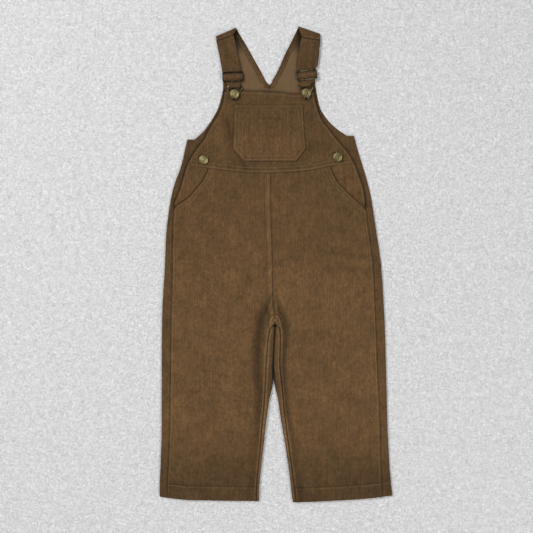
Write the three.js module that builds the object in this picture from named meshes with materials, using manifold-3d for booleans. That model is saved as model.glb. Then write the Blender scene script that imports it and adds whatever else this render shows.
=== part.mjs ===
// Toddler overalls in fine corduroy, laid flat on a surface with the front up.
// Millimetres. +X is to the right, +Y towards the shoulders, +Z up off the surface.
// Each panel of cloth is a wall of even thickness built on a grid that follows the middle of the cloth.

import * as THREE from "three";
import { mergeVertices } from "three/addons/utils/BufferGeometryUtils.js";
import Module from "manifold-3d";

// Cloth
const wall = 1.3;
const liningWall = 1.0;
const strapWall = 2.0;
const hemWall = 2.0;
const seamGap = 0.3;
const crotchEase = 0.3;
const halfSeam = seamGap / 2;

// Heights of the middle of each layer above the surface
const backLevel = wall / 2;
const liningLevel = wall + seamGap + liningWall / 2;
const underlapLevel = 2.35;
const frontLevel = 4.0;
const pocketLift = wall + seamGap;
const strapLevel = liningLevel + liningWall / 2 + seamGap + strapWall / 2;
const lowestLegFront = backLevel + wall + seamGap + 0.1;
const lowestBib = liningLevel + liningWall / 2 + seamGap + wall / 2;

// Lines across the garment
const hemY = -340;
const hemDepth = 17.5;
const hemBendY = -300;
const inseamTopY = -92;
const crotchY = -85;
const seamTopY = 78;
const openingStartY = 84;
const waistBlendY = 100;
const frontTopY = 142;
const neckPointY = 259.6;
const centreBackX = -8.6;

// Metal
const wireRadius = 0.9;
const wireLevel = 6.2;
const sliderSize = { width: 30, length: 14.6, rail: 1.3, bar: 1.8, thick: 1.6, level: 6.0, middleLevel: 5.0 };
const buttonRadius = 6.8;
const shankRadius = 2;
const barReach = 12;

// A short table: each row becomes an object with the named columns
function table(columns, rows) {
  const names = columns.split(" ");
  return rows.map((row) => Object.fromEntries(names.map((name, index) => [name, row[index]])));
}

// A smooth line through the rows of a table, read as a function of one of its columns
function lineThrough(rows, key, value) {
  const sorted = [...rows].sort((a, b) => a[key] - b[key]);
  const last = sorted.length - 1;
  const slope = (index) => {
    const before = sorted[Math.max(index - 1, 0)];
    const after = sorted[Math.min(index + 1, last)];
    return (after[value] - before[value]) / (after[key] - before[key]);
  };
  return (at) => {
    let index = sorted.findIndex((row) => row[key] > at) - 1;
    if (index === -2) index = last - 1;
    index = Math.max(index, 0);
    const from = sorted[index];
    const to = sorted[index + 1];
    const step = to[key] - from[key];
    const t = (at - from[key]) / step;
    if (t < 0 || t > 1) return from[value] + ((to[value] - from[value]) / step) * (at - from[key]);
    const t2 = t * t;
    const t3 = t2 * t;
    return (2 * t3 - 3 * t2 + 1) * from[value] + (t3 - 2 * t2 + t) * step * slope(index)
      + (3 * t2 - 2 * t3) * to[value] + (t3 - t2) * step * slope(index + 1);
  };
}

// Outlines. Here x is measured from the middle line of the garment towards the named side.
const outline = {
  left: {
    sign: -1,
    outer: table("y x", [
      [-336, 167.9], [-313, 167.5], [-284, 166.2], [-240, 165.0], [-96, 164.6], [-52, 163.3], [-9, 160.6],
      [35, 158.8], [64, 156.0], [93, 151.9], [107, 148.8], [122, 144.2], [136, 138.8], [151, 134.3],
      [165, 131.4], [180, 127.6],
    ]),
    edge: table("y x", [
      [-340, 157.4], [-314, 156.3], [-283, 155.0], [-244, 153.4], [-204, 152.4], [-110, 151.6], [-55, 150.5],
      [-12, 149.4], [33, 149.0], [63, 148.0], [88, 145.7], [105, 138.8], [123, 133.6], [148, 125.2],
      [166, 113.9], [181, 102.9], [190, 98.4], [203, 90.8], [215, 83.6], [229, 77.7], [241, 74.8], [252, 74.0],
    ]),
    opening: table("y x", [[seamTopY, 147.0], [84, 143.0], [95, 126.4], [106, 117.0], [122, 103.9], [143, 95.0]]),
    inner: table("y x", [
      [-343, 24.4], [-313, 23.0], [-284, 19.8], [-255, 16.6], [-226, 13.4], [-204, 10.2], [-183, 7.6],
      [-139, 5.0], [-100, 2.6], [-86, 1.6],
    ]),
    inseamInset: table("y x", [
      [hemY, 3.6], [-255, 4.6], [-210, 6.0], [-183, 7.6], [-127, 8.2], [-104, 7.4], [inseamTopY, 5.4],
    ]),
    roll: table("y troughIn", [[hemY, 12], [-250, 12], [-200, 14], [-160, 19], [-120, 22], [-60, 24]]),
    hem: table("x y", [[24, -342.0], [124, -340.4], [150, -338], [168, -335.8]]),
    armhole: table("y x", [
      [180, 117.0], [186, 109.9], [194, 102.0], [202, 96.6], [209, 91.8], [223, 84.0], [238, 79.0], [252, 76.0],
      [260, 75.6], [275, 76.4], [290, 78.8], [305, 81.6], [318, 84.2],
    ]),
    neck: table("y x", [
      [neckPointY, 9.2], [263, 13.4], [267, 16.0], [274, 19.2], [289, 27.6], [303, 35.4], [318, 43.8], [328, 50.8],
    ]),
    backWaistY: 179.6,
    foldOuter: { x: 86.2, y: 329.4 },
    foldInner: { x: 57.6, y: 341.8 },
    shoulderSeam: { outer: { x: 85.2, y: 322.6 }, inner: { x: 61.6, y: 331.2 } },
    strap: table("outerX outerY innerX innerY", [
      [84.9, 321.9, 61.4, 330.6], [82.4, 312.5, 58.4, 318.0], [79.8, 298.5, 55.2, 302.0],
      [77.0, 285.0, 51.6, 286.5],
    ]),
    slider: { x: 61.8, y: 270.1, tilt: 3 },
    button: { x: 59.3, y: 244.8, tilt: -2 },
    sideButton: { x: 103.8, y: 150.1 },
  },
  right: {
    sign: 1,
    outer: table("y x", [
      [-334, 168.1], [-313, 166.5], [-284, 164.4], [-240, 162.1], [-168, 160.2], [-96, 158.3], [-52, 156.0],
      [-23, 154.3], [6, 151.7], [35, 147.5], [64, 143.0], [93, 138.9], [107, 135.8], [122, 132.0], [136, 127.8],
      [151, 123.2], [165, 118.9], [180, 114.9],
    ]),
    edge: table("y x", [
      [-340, 154.4], [-315, 152.9], [-260, 151.4], [-220, 150.4], [-165, 147.9], [-110, 145.8], [-56, 143.6],
      [-26, 142.2], [4, 139.9], [33, 136.3], [63, 132.2], [84, 129.5], [105, 126.8], [120, 122.6], [144, 113.5],
      [161, 104.0], [179, 88.7], [193, 78.1], [208, 66.4], [231, 58.2], [245, 55.8], [256, 54.6],
    ]),
    opening: table("y x", [[seamTopY, 129.2], [84, 124.4], [95, 111.6], [106, 100.6], [122, 87.0], [143, 77.4]]),
    inner: table("y x", [
      [-343.7, 25.3], [-313, 21.4], [-284, 17.4], [-255, 12.9], [-226, 7.9], [-197, 3.8], [-164, 0.2],
      [-146, -1.6], [-118, -1.0], [-100, -0.2], [-86, 0.4],
    ]),
    inseamInset: table("y x", [
      [hemY, 4.0], [-255, 4.8], [-210, 6.4], [-183, 7.4], [-127, 7.6], [-104, 7.0], [inseamTopY, 5.2],
    ]),
    roll: table("y troughIn", [[hemY, 12], [-250, 12], [-200, 12], [-160, 12], [-120, 12], [-60, 15]]),
    hem: table("x y", [[25, -343.7], [63, -342.4], [130, -338.4], [168, -334.2]]),
    armhole: table("y x", [
      [180, 107.0], [186, 101.6], [194, 90.2], [202, 81.0], [209, 74.8], [223, 65.4], [238, 60.9], [252, 58.3],
      [260, 57.0], [275, 57.2], [290, 58.4], [305, 60.0], [318, 61.8],
    ]),
    neck: table("y x", [
      [neckPointY, -7.8], [263, -5.0], [267, -3.6], [274, 0.6], [289, 7.8], [303, 13.6], [318, 21.4], [330, 27.6],
    ]),
    backWaistY: 185.0,
    foldOuter: { x: 64.7, y: 333.0 },
    foldInner: { x: 33.6, y: 343.7 },
    shoulderSeam: { outer: { x: 64.2, y: 323.6 }, inner: { x: 38.4, y: 328.0 } },
    strap: table("outerX outerY innerX innerY", [
      [64.0, 322.9, 38.2, 327.3], [62.4, 311.5, 35.4, 313.5], [61.8, 300.0, 33.4, 299.5],
      [60.2, 287.6, 32.0, 285.6],
    ]),
    slider: { x: 44.6, y: 272.7, tilt: 6.5 },
    button: { x: 44.0, y: 246.1, tilt: 4 },
    sideButton: { x: 89.3, y: 154.0 },
  },
};

const centreFront = lineThrough(
  table("y x", [[crotchY, -0.9], [-67, -3.0], [-26, -6.1], [48, -9.6], [100, -11.2], [132, -10.4]]), "y", "x");
const waistSeam = lineThrough(
  table("x y", [
    [-126, 142.8], [-97, 138.4], [-63, 134.3], [-40, 132.2], [-12, 131.6], [24, 133.2], [50, 135.6], [78, 141.0],
    [95, 143.7], [114, 145.8],
  ]), "x", "y");
const bibTop = lineThrough(
  table("x y", [[-76, 248.6], [-50, 249.2], [-20, 248.9], [5, 247.4], [30, 245.2], [56, 248.6]]), "x", "y");

for (const side of Object.values(outline)) {
  side.outerAt = lineThrough(side.outer, "y", "x");
  side.edgeAt = lineThrough(side.edge, "y", "x");
  side.openingAt = lineThrough(side.opening, "y", "x");
  side.innerAt = lineThrough(side.inner, "y", "x");
  side.insetAt = lineThrough(side.inseamInset, "y", "x");
  side.troughAt = lineThrough(side.roll, "y", "troughIn");
  side.hemAt = lineThrough(side.hem, "x", "y");
  side.armholeAt = lineThrough(side.armhole, "y", "x");
  side.neckAt = lineThrough(side.neck, "y", "x");
}

// Soft folds of the front: each runs from (x, y) to (toX, toY) with a half width and a rise (down is negative)
const folds = table("x y toX toY half rise", [
  [-74, 214, -68, 190, 6, -0.45],
  [-68, 190, -63, 168, 6, -0.45],
  [-63, 168, -50, 146, 6, -0.45],
  [-84, 206, -80, 178, 7, 0.9],
  [-80, 178, -66, 152, 7, 0.7],
  [-149, 36, -122, 31, 6, -0.7],
  [82, 18, 122, 9, 6, -1.0],
  [84, 4, 132, 1, 6, 0.7],
  [80, -8, 140, -8, 7, -1.0],
  [-8, -48, -20, -84, 7, -1.0],
  [2, -42, 9, -72, 5, -1.0],
  [12, -34, 18, -66, 6, 0.6],
  [-60, -20, -96, -60, 16, 0.6],
  [60, -150, 110, -190, 18, -0.6],
  [-120, -190, -70, -240, 18, -0.6],
]);
const rollRise = 1.9;
const rollHalf = 8;
const troughDepth = 1.3;
const troughHalf = 8;
const pocketLiftStartY = 60;
const pocketLiftNear = 9;
const pocketLiftFar = 22;

function smoothStep(from, to, value) {
  const t = THREE.MathUtils.clamp((value - from) / (to - from), 0, 1);
  return t * t * (3 - 2 * t);
}

function bell(distance, half) {
  return Math.exp(-((distance / half) ** 2));
}

function distanceToFold(fold, x, y) {
  const dx = fold.toX - fold.x;
  const dy = fold.toY - fold.y;
  const t = THREE.MathUtils.clamp(((x - fold.x) * dx + (y - fold.y) * dy) / (dx * dx + dy * dy), 0, 1);
  return Math.hypot(x - fold.x - t * dx, y - fold.y - t * dy);
}

function foldRise(x, y) {
  return folds.reduce((rise, fold) => rise + fold.rise * bell(distanceToFold(fold, x, y), fold.half), 0);
}

// The inner edge of each leg stands up in a roll, with a trough beside it
function innerRoll(side, x, y) {
  const distance = side.sign * x - side.innerAt(Math.min(y, crotchY));
  const strength = 1 - smoothStep(-100, -45, y);
  const roll = rollRise * bell(Math.max(distance, 0), rollHalf) * (1 - 0.45 * smoothStep(-150, -300, y));
  const hollow = troughDepth * bell(distance - side.troughAt(y), troughHalf);
  const trough = hollow * (1 - 0.6 * smoothStep(-160, -320, y));
  return strength * (roll - trough);
}

function legLevel(side, x, y) {
  const edgeDistance = side.openingAt(y) - side.sign * x;
  const nearMouth = 1 - smoothStep(pocketLiftNear, pocketLiftFar, edgeDistance);
  const lift = smoothStep(pocketLiftStartY, openingStartY, y) * nearMouth;
  const quiet = 1 - lift;
  const level = frontLevel + lift * pocketLift + quiet * (innerRoll(side, x, y) + foldRise(x, y));
  return Math.max(level, lowestLegFront);
}

const pocketCorners = table("x y toX toY half", [[-95, 142, -88, 141, 7], [77, 142, 70, 141, 7]]);

function bibLevel(x, y) {
  const lift = pocketCorners.reduce((rise, corner) => rise + bell(distanceToFold(corner, x, y), corner.half), 0);
  return Math.max(frontLevel + pocketLift * lift + foldRise(x, y), lowestBib);
}

// A wall of cloth on a grid of points (rows of THREE.Vector3) that follow the middle of the cloth
function clothWall(grid, thickness) {
  const rowCount = grid.length;
  const columnCount = grid[0].length;
  const thicknessAt = typeof thickness === "function" ? thickness : () => thickness;
  const along = new THREE.Vector3();
  const across = new THREE.Vector3();
  const normal = new THREE.Vector3();
  const positions = [];
  for (const face of [0.5, -0.5]) {
    for (let i = 0; i < rowCount; i += 1) {
      for (let j = 0; j < columnCount; j += 1) {
        across.subVectors(grid[i][Math.min(j + 1, columnCount - 1)], grid[i][Math.max(j - 1, 0)]);
        along.subVectors(grid[Math.min(i + 1, rowCount - 1)][j], grid[Math.max(i - 1, 0)][j]);
        normal.crossVectors(across, along).normalize();
        const point = grid[i][j].clone().addScaledVector(normal, face * thicknessAt(i, j));
        positions.push(point.x, point.y, point.z);
      }
    }
  }
  const index = [];
  const quad = (a, b, c, d) => index.push(a, b, c, a, c, d);
  const top = (i, j) => i * columnCount + j;
  const under = (i, j) => rowCount * columnCount + i * columnCount + j;
  const lastRow = rowCount - 1;
  const lastColumn = columnCount - 1;
  for (let i = 0; i < lastRow; i += 1) {
    for (let j = 0; j < lastColumn; j += 1) {
      quad(top(i, j), top(i, j + 1), top(i + 1, j + 1), top(i + 1, j));
      quad(under(i, j), under(i + 1, j), under(i + 1, j + 1), under(i, j + 1));
    }
    quad(top(i, 0), top(i + 1, 0), under(i + 1, 0), under(i, 0));
    quad(top(i, lastColumn), under(i, lastColumn), under(i + 1, lastColumn), top(i + 1, lastColumn));
  }
  for (let j = 0; j < lastColumn; j += 1) {
    quad(top(0, j), under(0, j), under(0, j + 1), top(0, j + 1));
    quad(top(lastRow, j), top(lastRow, j + 1), under(lastRow, j + 1), under(lastRow, j));
  }
  const geometry = new THREE.BufferGeometry();
  geometry.setAttribute("position", new THREE.Float32BufferAttribute(positions, 3));
  geometry.setIndex(index);
  return facingOut(geometry);
}

// Turns the faces of a closed mesh over where they point inwards
function facingOut(geometry) {
  const position = geometry.getAttribute("position");
  const index = geometry.getIndex();
  const corner = [new THREE.Vector3(), new THREE.Vector3(), new THREE.Vector3()];
  let volume = 0;
  for (let face = 0; face < index.count; face += 3) {
    corner.forEach((point, k) => point.fromBufferAttribute(position, index.getX(face + k)));
    volume += corner[0].dot(corner[1].cross(corner[2])) / 6;
  }
  if (volume < 0) {
    for (let face = 0; face < index.count; face += 3) {
      const second = index.getX(face + 1);
      index.setX(face + 1, index.getX(face + 2));
      index.setX(face + 2, second);
    }
  }
  return geometry;
}

// A closed ring of round wire along points that share one height
function wireLoop(points, radius, sides) {
  const positions = [];
  const index = [];
  const count = points.length;
  points.forEach((point, i) => {
    const before = points[(i + count - 1) % count];
    const after = points[(i + 1) % count];
    const outward = new THREE.Vector3(after.y - before.y, before.x - after.x, 0).normalize();
    for (let k = 0; k < sides; k += 1) {
      const angle = (2 * Math.PI * k) / sides;
      positions.push(
        point.x + outward.x * radius * Math.cos(angle),
        point.y + outward.y * radius * Math.cos(angle),
        point.z + radius * Math.sin(angle));
      const next = ((i + 1) % count) * sides;
      const turn = (k + 1) % sides;
      index.push(i * sides + k, next + k, next + turn, i * sides + k, next + turn, i * sides + turn);
    }
  });
  const geometry = new THREE.BufferGeometry();
  geometry.setAttribute("position", new THREE.Float32BufferAttribute(positions, 3));
  geometry.setIndex(index);
  return facingOut(geometry);
}

const lerp = THREE.MathUtils.lerp;

// Trouser front: rows from the hem to the waist seam, columns from the inner edge to the outer edge
const legRowsY = [
  hemY, -331, -322.5, hemBendY, -281, -262, -243, -224, -205, -186, -170, -156, -143, -130, -120, -110, -100,
  inseamTopY, crotchY,
];
const hipRowsY = [-72, -56, -38, -20, -8, 2, 14, 26, 44, 62, seamTopY];
const pocketRowsY = [openingStartY, 95, 108, 122, frontTopY];
const innerColumns = [0, 4, 8, 13, 18, 24, 32, 44];
const outerColumns = [24, 10, 0];
const middleColumnCount = 3;

function frontColumns(width) {
  const start = innerColumns[innerColumns.length - 1];
  const end = width - outerColumns[0];
  const middle = Array.from({ length: middleColumnCount }, (_, k) => (
    lerp(start, end, (k + 1) / (middleColumnCount + 1))));
  return [...innerColumns, ...middle, ...outerColumns.map((inset) => width - inset)];
}

function innerSeamX(side, y) {
  if (y >= crotchY) return side.sign * centreFront(y) + halfSeam;
  const ease = crotchEase * smoothStep(-112, inseamTopY, y);
  return side.innerAt(y) + side.insetAt(y) + halfSeam + ease;
}

function outerSeamX(side, y) {
  return y <= seamTopY ? side.edgeAt(y) - halfSeam : side.openingAt(y);
}

// Rows near the hem and the waist bend to follow those lines
function bentY(side, x, y) {
  if (y >= hemBendY) return y;
  return lerp(hemBendY, side.hemAt(side.sign * x), (y - hemBendY) / (hemY - hemBendY));
}

function frontLeg(side) {
  const rows = [...legRowsY, ...hipRowsY, ...pocketRowsY];
  const topY = rows[rows.length - 1];
  const grid = rows.map((rowY) => {
    const inner = innerSeamX(side, rowY);
    const outer = outerSeamX(side, rowY);
    return frontColumns(outer - inner).map((offset) => {
      const share = offset / (outer - inner);
      let x = side.sign * (inner + offset);
      let y = bentY(side, x, rowY);
      if (rowY > waistBlendY) {
        const waist = waistSeam(x) - halfSeam;
        y = lerp(waistBlendY, waist, (rowY - waistBlendY) / (topY - waistBlendY));
        x = side.sign * lerp(innerSeamX(side, y), outerSeamX(side, y), share);
      }
      return new THREE.Vector3(x, y, legLevel(side, x, y));
    });
  });
  return clothWall(grid, (row) => (rows[row] < hemY + hemDepth + 1 ? hemWall : wall));
}

// The corduroy behind the mouth of a hand pocket: it runs a little way under the pocket's edge
const facingUnderlap = 5;
const facingTipInset = 1.4;
const facingTipTopY = 85;
const facingRowsY = [81, 84.6, 86, 95, 108, 122, frontTopY];

function pocketFacing(side) {
  const topY = facingRowsY[facingRowsY.length - 1];
  const shares = [0, 0.2, 0.4, 0.6, 0.8, 1];
  const grid = facingRowsY.map((rowY) => shares.map((share) => {
    const tipInset = rowY < facingTipTopY ? facingTipInset : 0;
    const xAt = (y) => side.sign * lerp(side.openingAt(y) - facingUnderlap, side.edgeAt(y) - tipInset, share);
    let y = rowY;
    if (rowY > waistBlendY) {
      const waist = waistSeam(xAt(rowY)) - halfSeam;
      y = lerp(waistBlendY, waist, (rowY - waistBlendY) / (topY - waistBlendY));
    }
    return new THREE.Vector3(xAt(y), y, frontLevel);
  }));
  return clothWall(grid, wall);
}

// Trouser back: it lies on the surface and turns up round both edges of the leg to the seams on the front
const backUpperY = [openingStartY + 2, 94, 108, 122, 136, 151, 165];
const backHipY = [-56, -20, 14, 44, 62, seamTopY];
const turnSteps = 4;
const bottomColumns = 2;
const crotchColumnStep = 1.4;
const leastReturn = 0.4;

function halfTurn(centreX, low, high, outward) {
  const radius = (high - low) / 2;
  const points = [];
  for (let k = 0; k <= turnSteps; k += 1) {
    const angle = (Math.PI * k) / turnSteps;
    const x = centreX + outward * radius * Math.sin(angle);
    points.push({ x, z: (low + high) / 2 + radius * Math.cos(angle) });
  }
  return points;
}

function sideUnderlap(side, y) {
  return smoothStep(openingStartY, 96, y) * lerp(15, 5, smoothStep(96, side.backWaistY, y));
}

// Below the crotch both legs spread at the surface until they nearly touch
const touchEndY = -158;
const openY = -196;

function footSpread(y, radius) {
  const room = (outline.left.innerAt(y) + outline.right.innerAt(y)) / 2 - halfSeam;
  const reach = Math.max(room, 0) * (1 - smoothStep(touchEndY, openY, y));
  return (reach * (2 * radius + reach)) / (radius + reach);
}

function backLegSection(side, y) {
  const overFlap = y > seamTopY;
  const level = overFlap ? underlapLevel : frontLevel;
  const outerTurn = halfTurn(side.outerAt(y) - (level - backLevel) / 2 - wall / 2, backLevel, level, 1);
  const returnEnd = overFlap ? side.edgeAt(y) - sideUnderlap(side, y) : side.edgeAt(y) + halfSeam;
  const outerPart = [{ x: Math.min(returnEnd, outerTurn[0].x - leastReturn), z: level }, ...outerTurn];
  let innerPart;
  if (y < crotchY) {
    const x = side.sign * side.innerAt(y);
    const top = frontLevel + innerRoll(side, x, y);
    const radius = (top - backLevel) / 2;
    const spread = footSpread(y, radius + wall / 2);
    const turn = halfTurn(side.innerAt(y) + radius + wall / 2, backLevel, top, -1).reverse();
    turn.forEach((point) => {
      point.x -= (spread * (top - point.z)) / (top - backLevel);
    });
    const seamX = side.innerAt(y) + side.insetAt(y) - halfSeam;
    innerPart = [...turn, { x: seamX, z: legLevel(side, side.sign * seamX, y) }];
  } else {
    const centre = side.sign * (y > seamTopY ? centreBackX : centreFront(y)) + halfSeam;
    innerPart = Array.from({ length: turnSteps + 2 }, (_, k) => (
      { x: centre + crotchColumnStep * (turnSteps + 1 - k), z: backLevel }));
  }
  const start = outerPart[outerPart.length - 1].x;
  const end = innerPart[0].x;
  const bottom = Array.from({ length: bottomColumns }, (_, k) => (
    { x: lerp(start, end, (k + 1) / (bottomColumns + 1)), z: backLevel }));
  return [...outerPart, ...bottom, ...innerPart];
}

function backLeg(side) {
  const rows = [...legRowsY, ...backHipY, ...backUpperY, side.backWaistY];
  const grid = rows.map((rowY) => backLegSection(side, rowY).map(({ x, z }) => (
    new THREE.Vector3(side.sign * x, bentY(side, side.sign * x, rowY), z))));
  return clothWall(grid, wall);
}

// Front bib with its side flaps
const bibRows = 13;
const bibColumns = 21;

function frontBib() {
  const { left, right } = outline;
  const grid = [];
  for (let i = 0; i <= bibRows; i += 1) {
    const row = [];
    for (let j = 0; j <= bibColumns; j += 1) {
      const u = j / bibColumns;
      const v = i / bibRows;
      const xAt = (y) => lerp(-left.edgeAt(y), right.edgeAt(y), u);
      const low = waistSeam(xAt(146)) + halfSeam;
      const high = bibTop(xAt(250));
      const y = lerp(low, high, v);
      row.push(new THREE.Vector3(xAt(y), y, bibLevel(xAt(y), y)));
    }
    grid.push(row);
  }
  return clothWall(grid, wall);
}

// Patch pocket on the bib, moved out from the bib's face
const bibPocketRows = table("y left right", [
  [149.2, -45.6, 29.8], [158, -53.4, 36.4], [166.4, -60.8, 43.0], [187, -60.2, 41.0], [208, -59.6, 39.8],
  [229.6, -58.9, 38.6],
]);
const bibPocketSwell = 0.5;

function bibPocket() {
  const columns = 8;
  const level = frontLevel + wall + seamGap;
  const grid = bibPocketRows.map((section, i) => Array.from({ length: columns + 1 }, (_, j) => {
    const u = j / columns;
    const v = i / (bibPocketRows.length - 1);
    const swell = bibPocketSwell * Math.sin(Math.PI * u) * Math.sin(Math.PI * v);
    return new THREE.Vector3(lerp(section.left, section.right, u), section.y, level + swell);
  }));
  return clothWall(grid, wall);
}

// Half of the back bib, up to the horn that folds over the shoulder
const backBibRowsY = [194, 202, 209, 223, 238, 252, neckPointY, 263.5, 268, 275, 289, 303, 318];
const shoulderTurnSteps = 4;
const shoulderColumns = 5;

function neckX(side, y) {
  return y <= neckPointY - 1 ? side.sign * centreBackX + halfSeam : side.neckAt(y);
}

function sideRow(side, outer, inner, level, columns) {
  return Array.from({ length: columns + 1 }, (_, k) => {
    const u = k / columns;
    return new THREE.Vector3(side.sign * lerp(outer.x, inner.x, u), lerp(outer.y, inner.y, u), level);
  });
}

function shoulderRow(side, angle) {
  const { foldOuter, foldInner } = side;
  const radius = (strapLevel - backLevel) / 2;
  const length = Math.hypot(foldInner.x - foldOuter.x, foldInner.y - foldOuter.y);
  const up = { x: (foldInner.y - foldOuter.y) / length, y: (foldOuter.x - foldInner.x) / length };
  const reach = radius * Math.sin(angle) - radius - wall / 2;
  const move = (point) => ({ x: point.x + up.x * reach, y: point.y + up.y * reach });
  const level = backLevel + radius - radius * Math.cos(angle);
  return sideRow(side, move(foldOuter), move(foldInner), level, shoulderColumns);
}

// Near the waist the armhole edge rests on the side pieces, and comes down under the edge of the flap
const armholeRestEndY = 216;
const armholeSlope = 6;

function backBibRow(side, y) {
  const outer = side.armholeAt(y);
  const inner = neckX(side, y);
  const rise = (underlapLevel - backLevel) * (1 - smoothStep(side.backWaistY, armholeRestEndY, y));
  const slopeStart = Math.min(side.edgeAt(Math.min(y, neckPointY)), outer - 1);
  const slopeEnd = slopeStart - armholeSlope;
  const places = [outer, slopeStart, slopeEnd, lerp(slopeEnd, inner, 0.33), lerp(slopeEnd, inner, 0.67), inner];
  return places.map((x, k) => new THREE.Vector3(side.sign * x, y, backLevel + (k < 2 ? rise : 0)));
}

function backBib(side) {
  const firstY = side.backWaistY + seamGap;
  const grid = [firstY, (firstY + backBibRowsY[0]) / 2, ...backBibRowsY].map((y) => backBibRow(side, y));
  for (let k = 0; k <= shoulderTurnSteps; k += 1) grid.push(shoulderRow(side, (Math.PI * k) / shoulderTurnSteps));
  grid.push(sideRow(side, side.shoulderSeam.outer, side.shoulderSeam.inner, strapLevel, shoulderColumns));
  return clothWall(grid, wall);
}

// Plain lining inside the back bib, and the corduroy border along the V of the neck
const borderWidth = 8;
const liningInset = 6;
const liningFromWaist = 2;
const underFlap = 8;
const underFlapTop = 2;
const borderEase = 0.2;
const borderRowsY = [263.5, 268, 275, 289, 303, 318, 324];
const liningRowsY = [194, 209, 223, 238, 252, neckPointY, ...borderRowsY];

function borderInnerX(side, y) {
  return neckX(side, y) + (y < neckPointY ? 0 : borderWidth * smoothStep(neckPointY - 6, 268, y));
}

function liningOuterX(side, y) {
  const inset = side.armholeAt(y) - liningInset;
  if (y >= neckPointY) return inset;
  return Math.min(inset, side.edgeAt(y) - lerp(underFlap, underFlapTop, smoothStep(205, 240, y)));
}

function backLining(side) {
  const grid = [side.backWaistY + liningFromWaist, ...liningRowsY].map((y) => sideRow(
    side, { x: liningOuterX(side, y), y }, { x: borderInnerX(side, y) + halfSeam, y }, liningLevel, 3));
  return clothWall(grid, liningWall);
}

function neckBorder(side) {
  const grid = borderRowsY.map((y) => sideRow(
    side, { x: borderInnerX(side, y) - halfSeam, y }, { x: side.neckAt(y) + borderEase, y }, liningLevel, 2));
  return clothWall(grid, liningWall);
}

// A point given in the turned frame of a slider or a buckle
function placed(side, frame, across, along, level) {
  const tilt = THREE.MathUtils.degToRad(frame.tilt);
  return new THREE.Vector3(
    side.sign * frame.x + across * Math.cos(tilt) - along * Math.sin(tilt),
    frame.y + across * Math.sin(tilt) + along * Math.cos(tilt),
    level);
}

// Strap: under the slider's end bars, over its middle bar, and round the bar of the buckle
const strapPath = table("along half level", [
  [8.1, 13.2, strapLevel], [5.0, 13.1, strapLevel], [1.4, 13.1, 7.1], [-1.4, 13.1, 7.1], [-5.0, 12.9, strapLevel],
  [-8.0, 10.6, strapLevel],
]);
const loopHalf = 7;
const loopEase = 0.1;
const loopReturn = 1.8;
const loopRadius = wireRadius + seamGap + loopEase + strapWall / 2;
const loopAngles = [50, 90, 130, 175, 220, 270];

function strap(side) {
  const columns = 2;
  const acrossRow = (frame, along, half, level) => Array.from({ length: columns + 1 }, (_, k) => (
    placed(side, frame, side.sign * lerp(half, -half, k / columns), along, level)));
  const grid = side.strap.map((row) => sideRow(
    side, { x: row.outerX, y: row.outerY }, { x: row.innerX, y: row.innerY }, strapLevel, columns));
  for (const row of strapPath) grid.push(acrossRow(side.slider, row.along, row.half, row.level));
  for (const degrees of loopAngles) {
    const angle = THREE.MathUtils.degToRad(degrees);
    const along = barReach + loopRadius * Math.cos(angle);
    grid.push(acrossRow(side.button, along, loopHalf, wireLevel + loopRadius * Math.sin(angle)));
  }
  grid.push(acrossRow(side.button, barReach + loopReturn, loopHalf, wireLevel - loopRadius));
  return clothWall(grid, strapWall);
}

// Slider: a flat frame with a lower middle bar
const wasm = await Module();
wasm.setup();

function toManifold(geometry) {
  const bare = geometry.clone();
  bare.deleteAttribute("normal");
  bare.deleteAttribute("uv");
  const merged = mergeVertices(bare);
  const index = merged.getIndex() ?? [];
  return new wasm.Manifold(new wasm.Mesh({
    numProp: 3,
    vertProperties: new Float32Array(merged.getAttribute("position").array),
    triVerts: new Uint32Array(index.array),
  }));
}

function fromManifold(solid) {
  const mesh = solid.getMesh();
  const geometry = new THREE.BufferGeometry();
  geometry.setAttribute("position", new THREE.Float32BufferAttribute(mesh.vertProperties, 3));
  geometry.setIndex(Array.from(mesh.triVerts));
  return geometry;
}

function roundedRectangle(path, width, length, radius) {
  const x = width / 2 - radius;
  const y = length / 2 - radius;
  path.absarc(x, y, radius, 0, Math.PI / 2);
  path.absarc(-x, y, radius, Math.PI / 2, Math.PI);
  path.absarc(-x, -y, radius, Math.PI, 1.5 * Math.PI);
  path.absarc(x, -y, radius, 1.5 * Math.PI, 2 * Math.PI);
  path.closePath();
  return path;
}

function slider() {
  const { width, length, rail, bar, thick, level, middleLevel } = sliderSize;
  const shape = roundedRectangle(new THREE.Shape(), width, length, 2);
  shape.holes.push(roundedRectangle(new THREE.Path(), width - 2 * rail, length - 2 * bar, 0.6));
  const frame = new THREE.ExtrudeGeometry(shape, { depth: thick, bevelEnabled: false, curveSegments: 3 });
  frame.translate(0, 0, level - thick / 2);
  const middle = new THREE.BoxGeometry(width - rail, bar, thick).translate(0, 0, middleLevel);
  return fromManifold(toManifold(frame).add(toManifold(middle)));
}

// Overall buckle: one bent wire with a straight bar on top that narrows to a keyhole round the button
const buckleOutline = table("across along", [
  [0, barReach], [5, barReach], [9.2, barReach - 0.2], [10.2, 8.4], [8.4, 4.4], [5.2, 0.4], [3.8, -3.6], [2.8, -7.2],
  [0, -8.6],
]);
const buckleSteps = 34;
const wireSides = 6;

function buckle(side) {
  const frame = side.button;
  const rightHalf = buckleOutline.map((row) => placed(side, frame, row.across, row.along, wireLevel));
  const leftHalf = buckleOutline.slice(1, -1).reverse().map((row) => (
    placed(side, frame, -row.across, row.along, wireLevel)));
  const curve = new THREE.CatmullRomCurve3([...rightHalf, ...leftHalf], true, "centripetal");
  return wireLoop(curve.getSpacedPoints(buckleSteps).slice(0, -1), wireRadius, wireSides);
}

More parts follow.
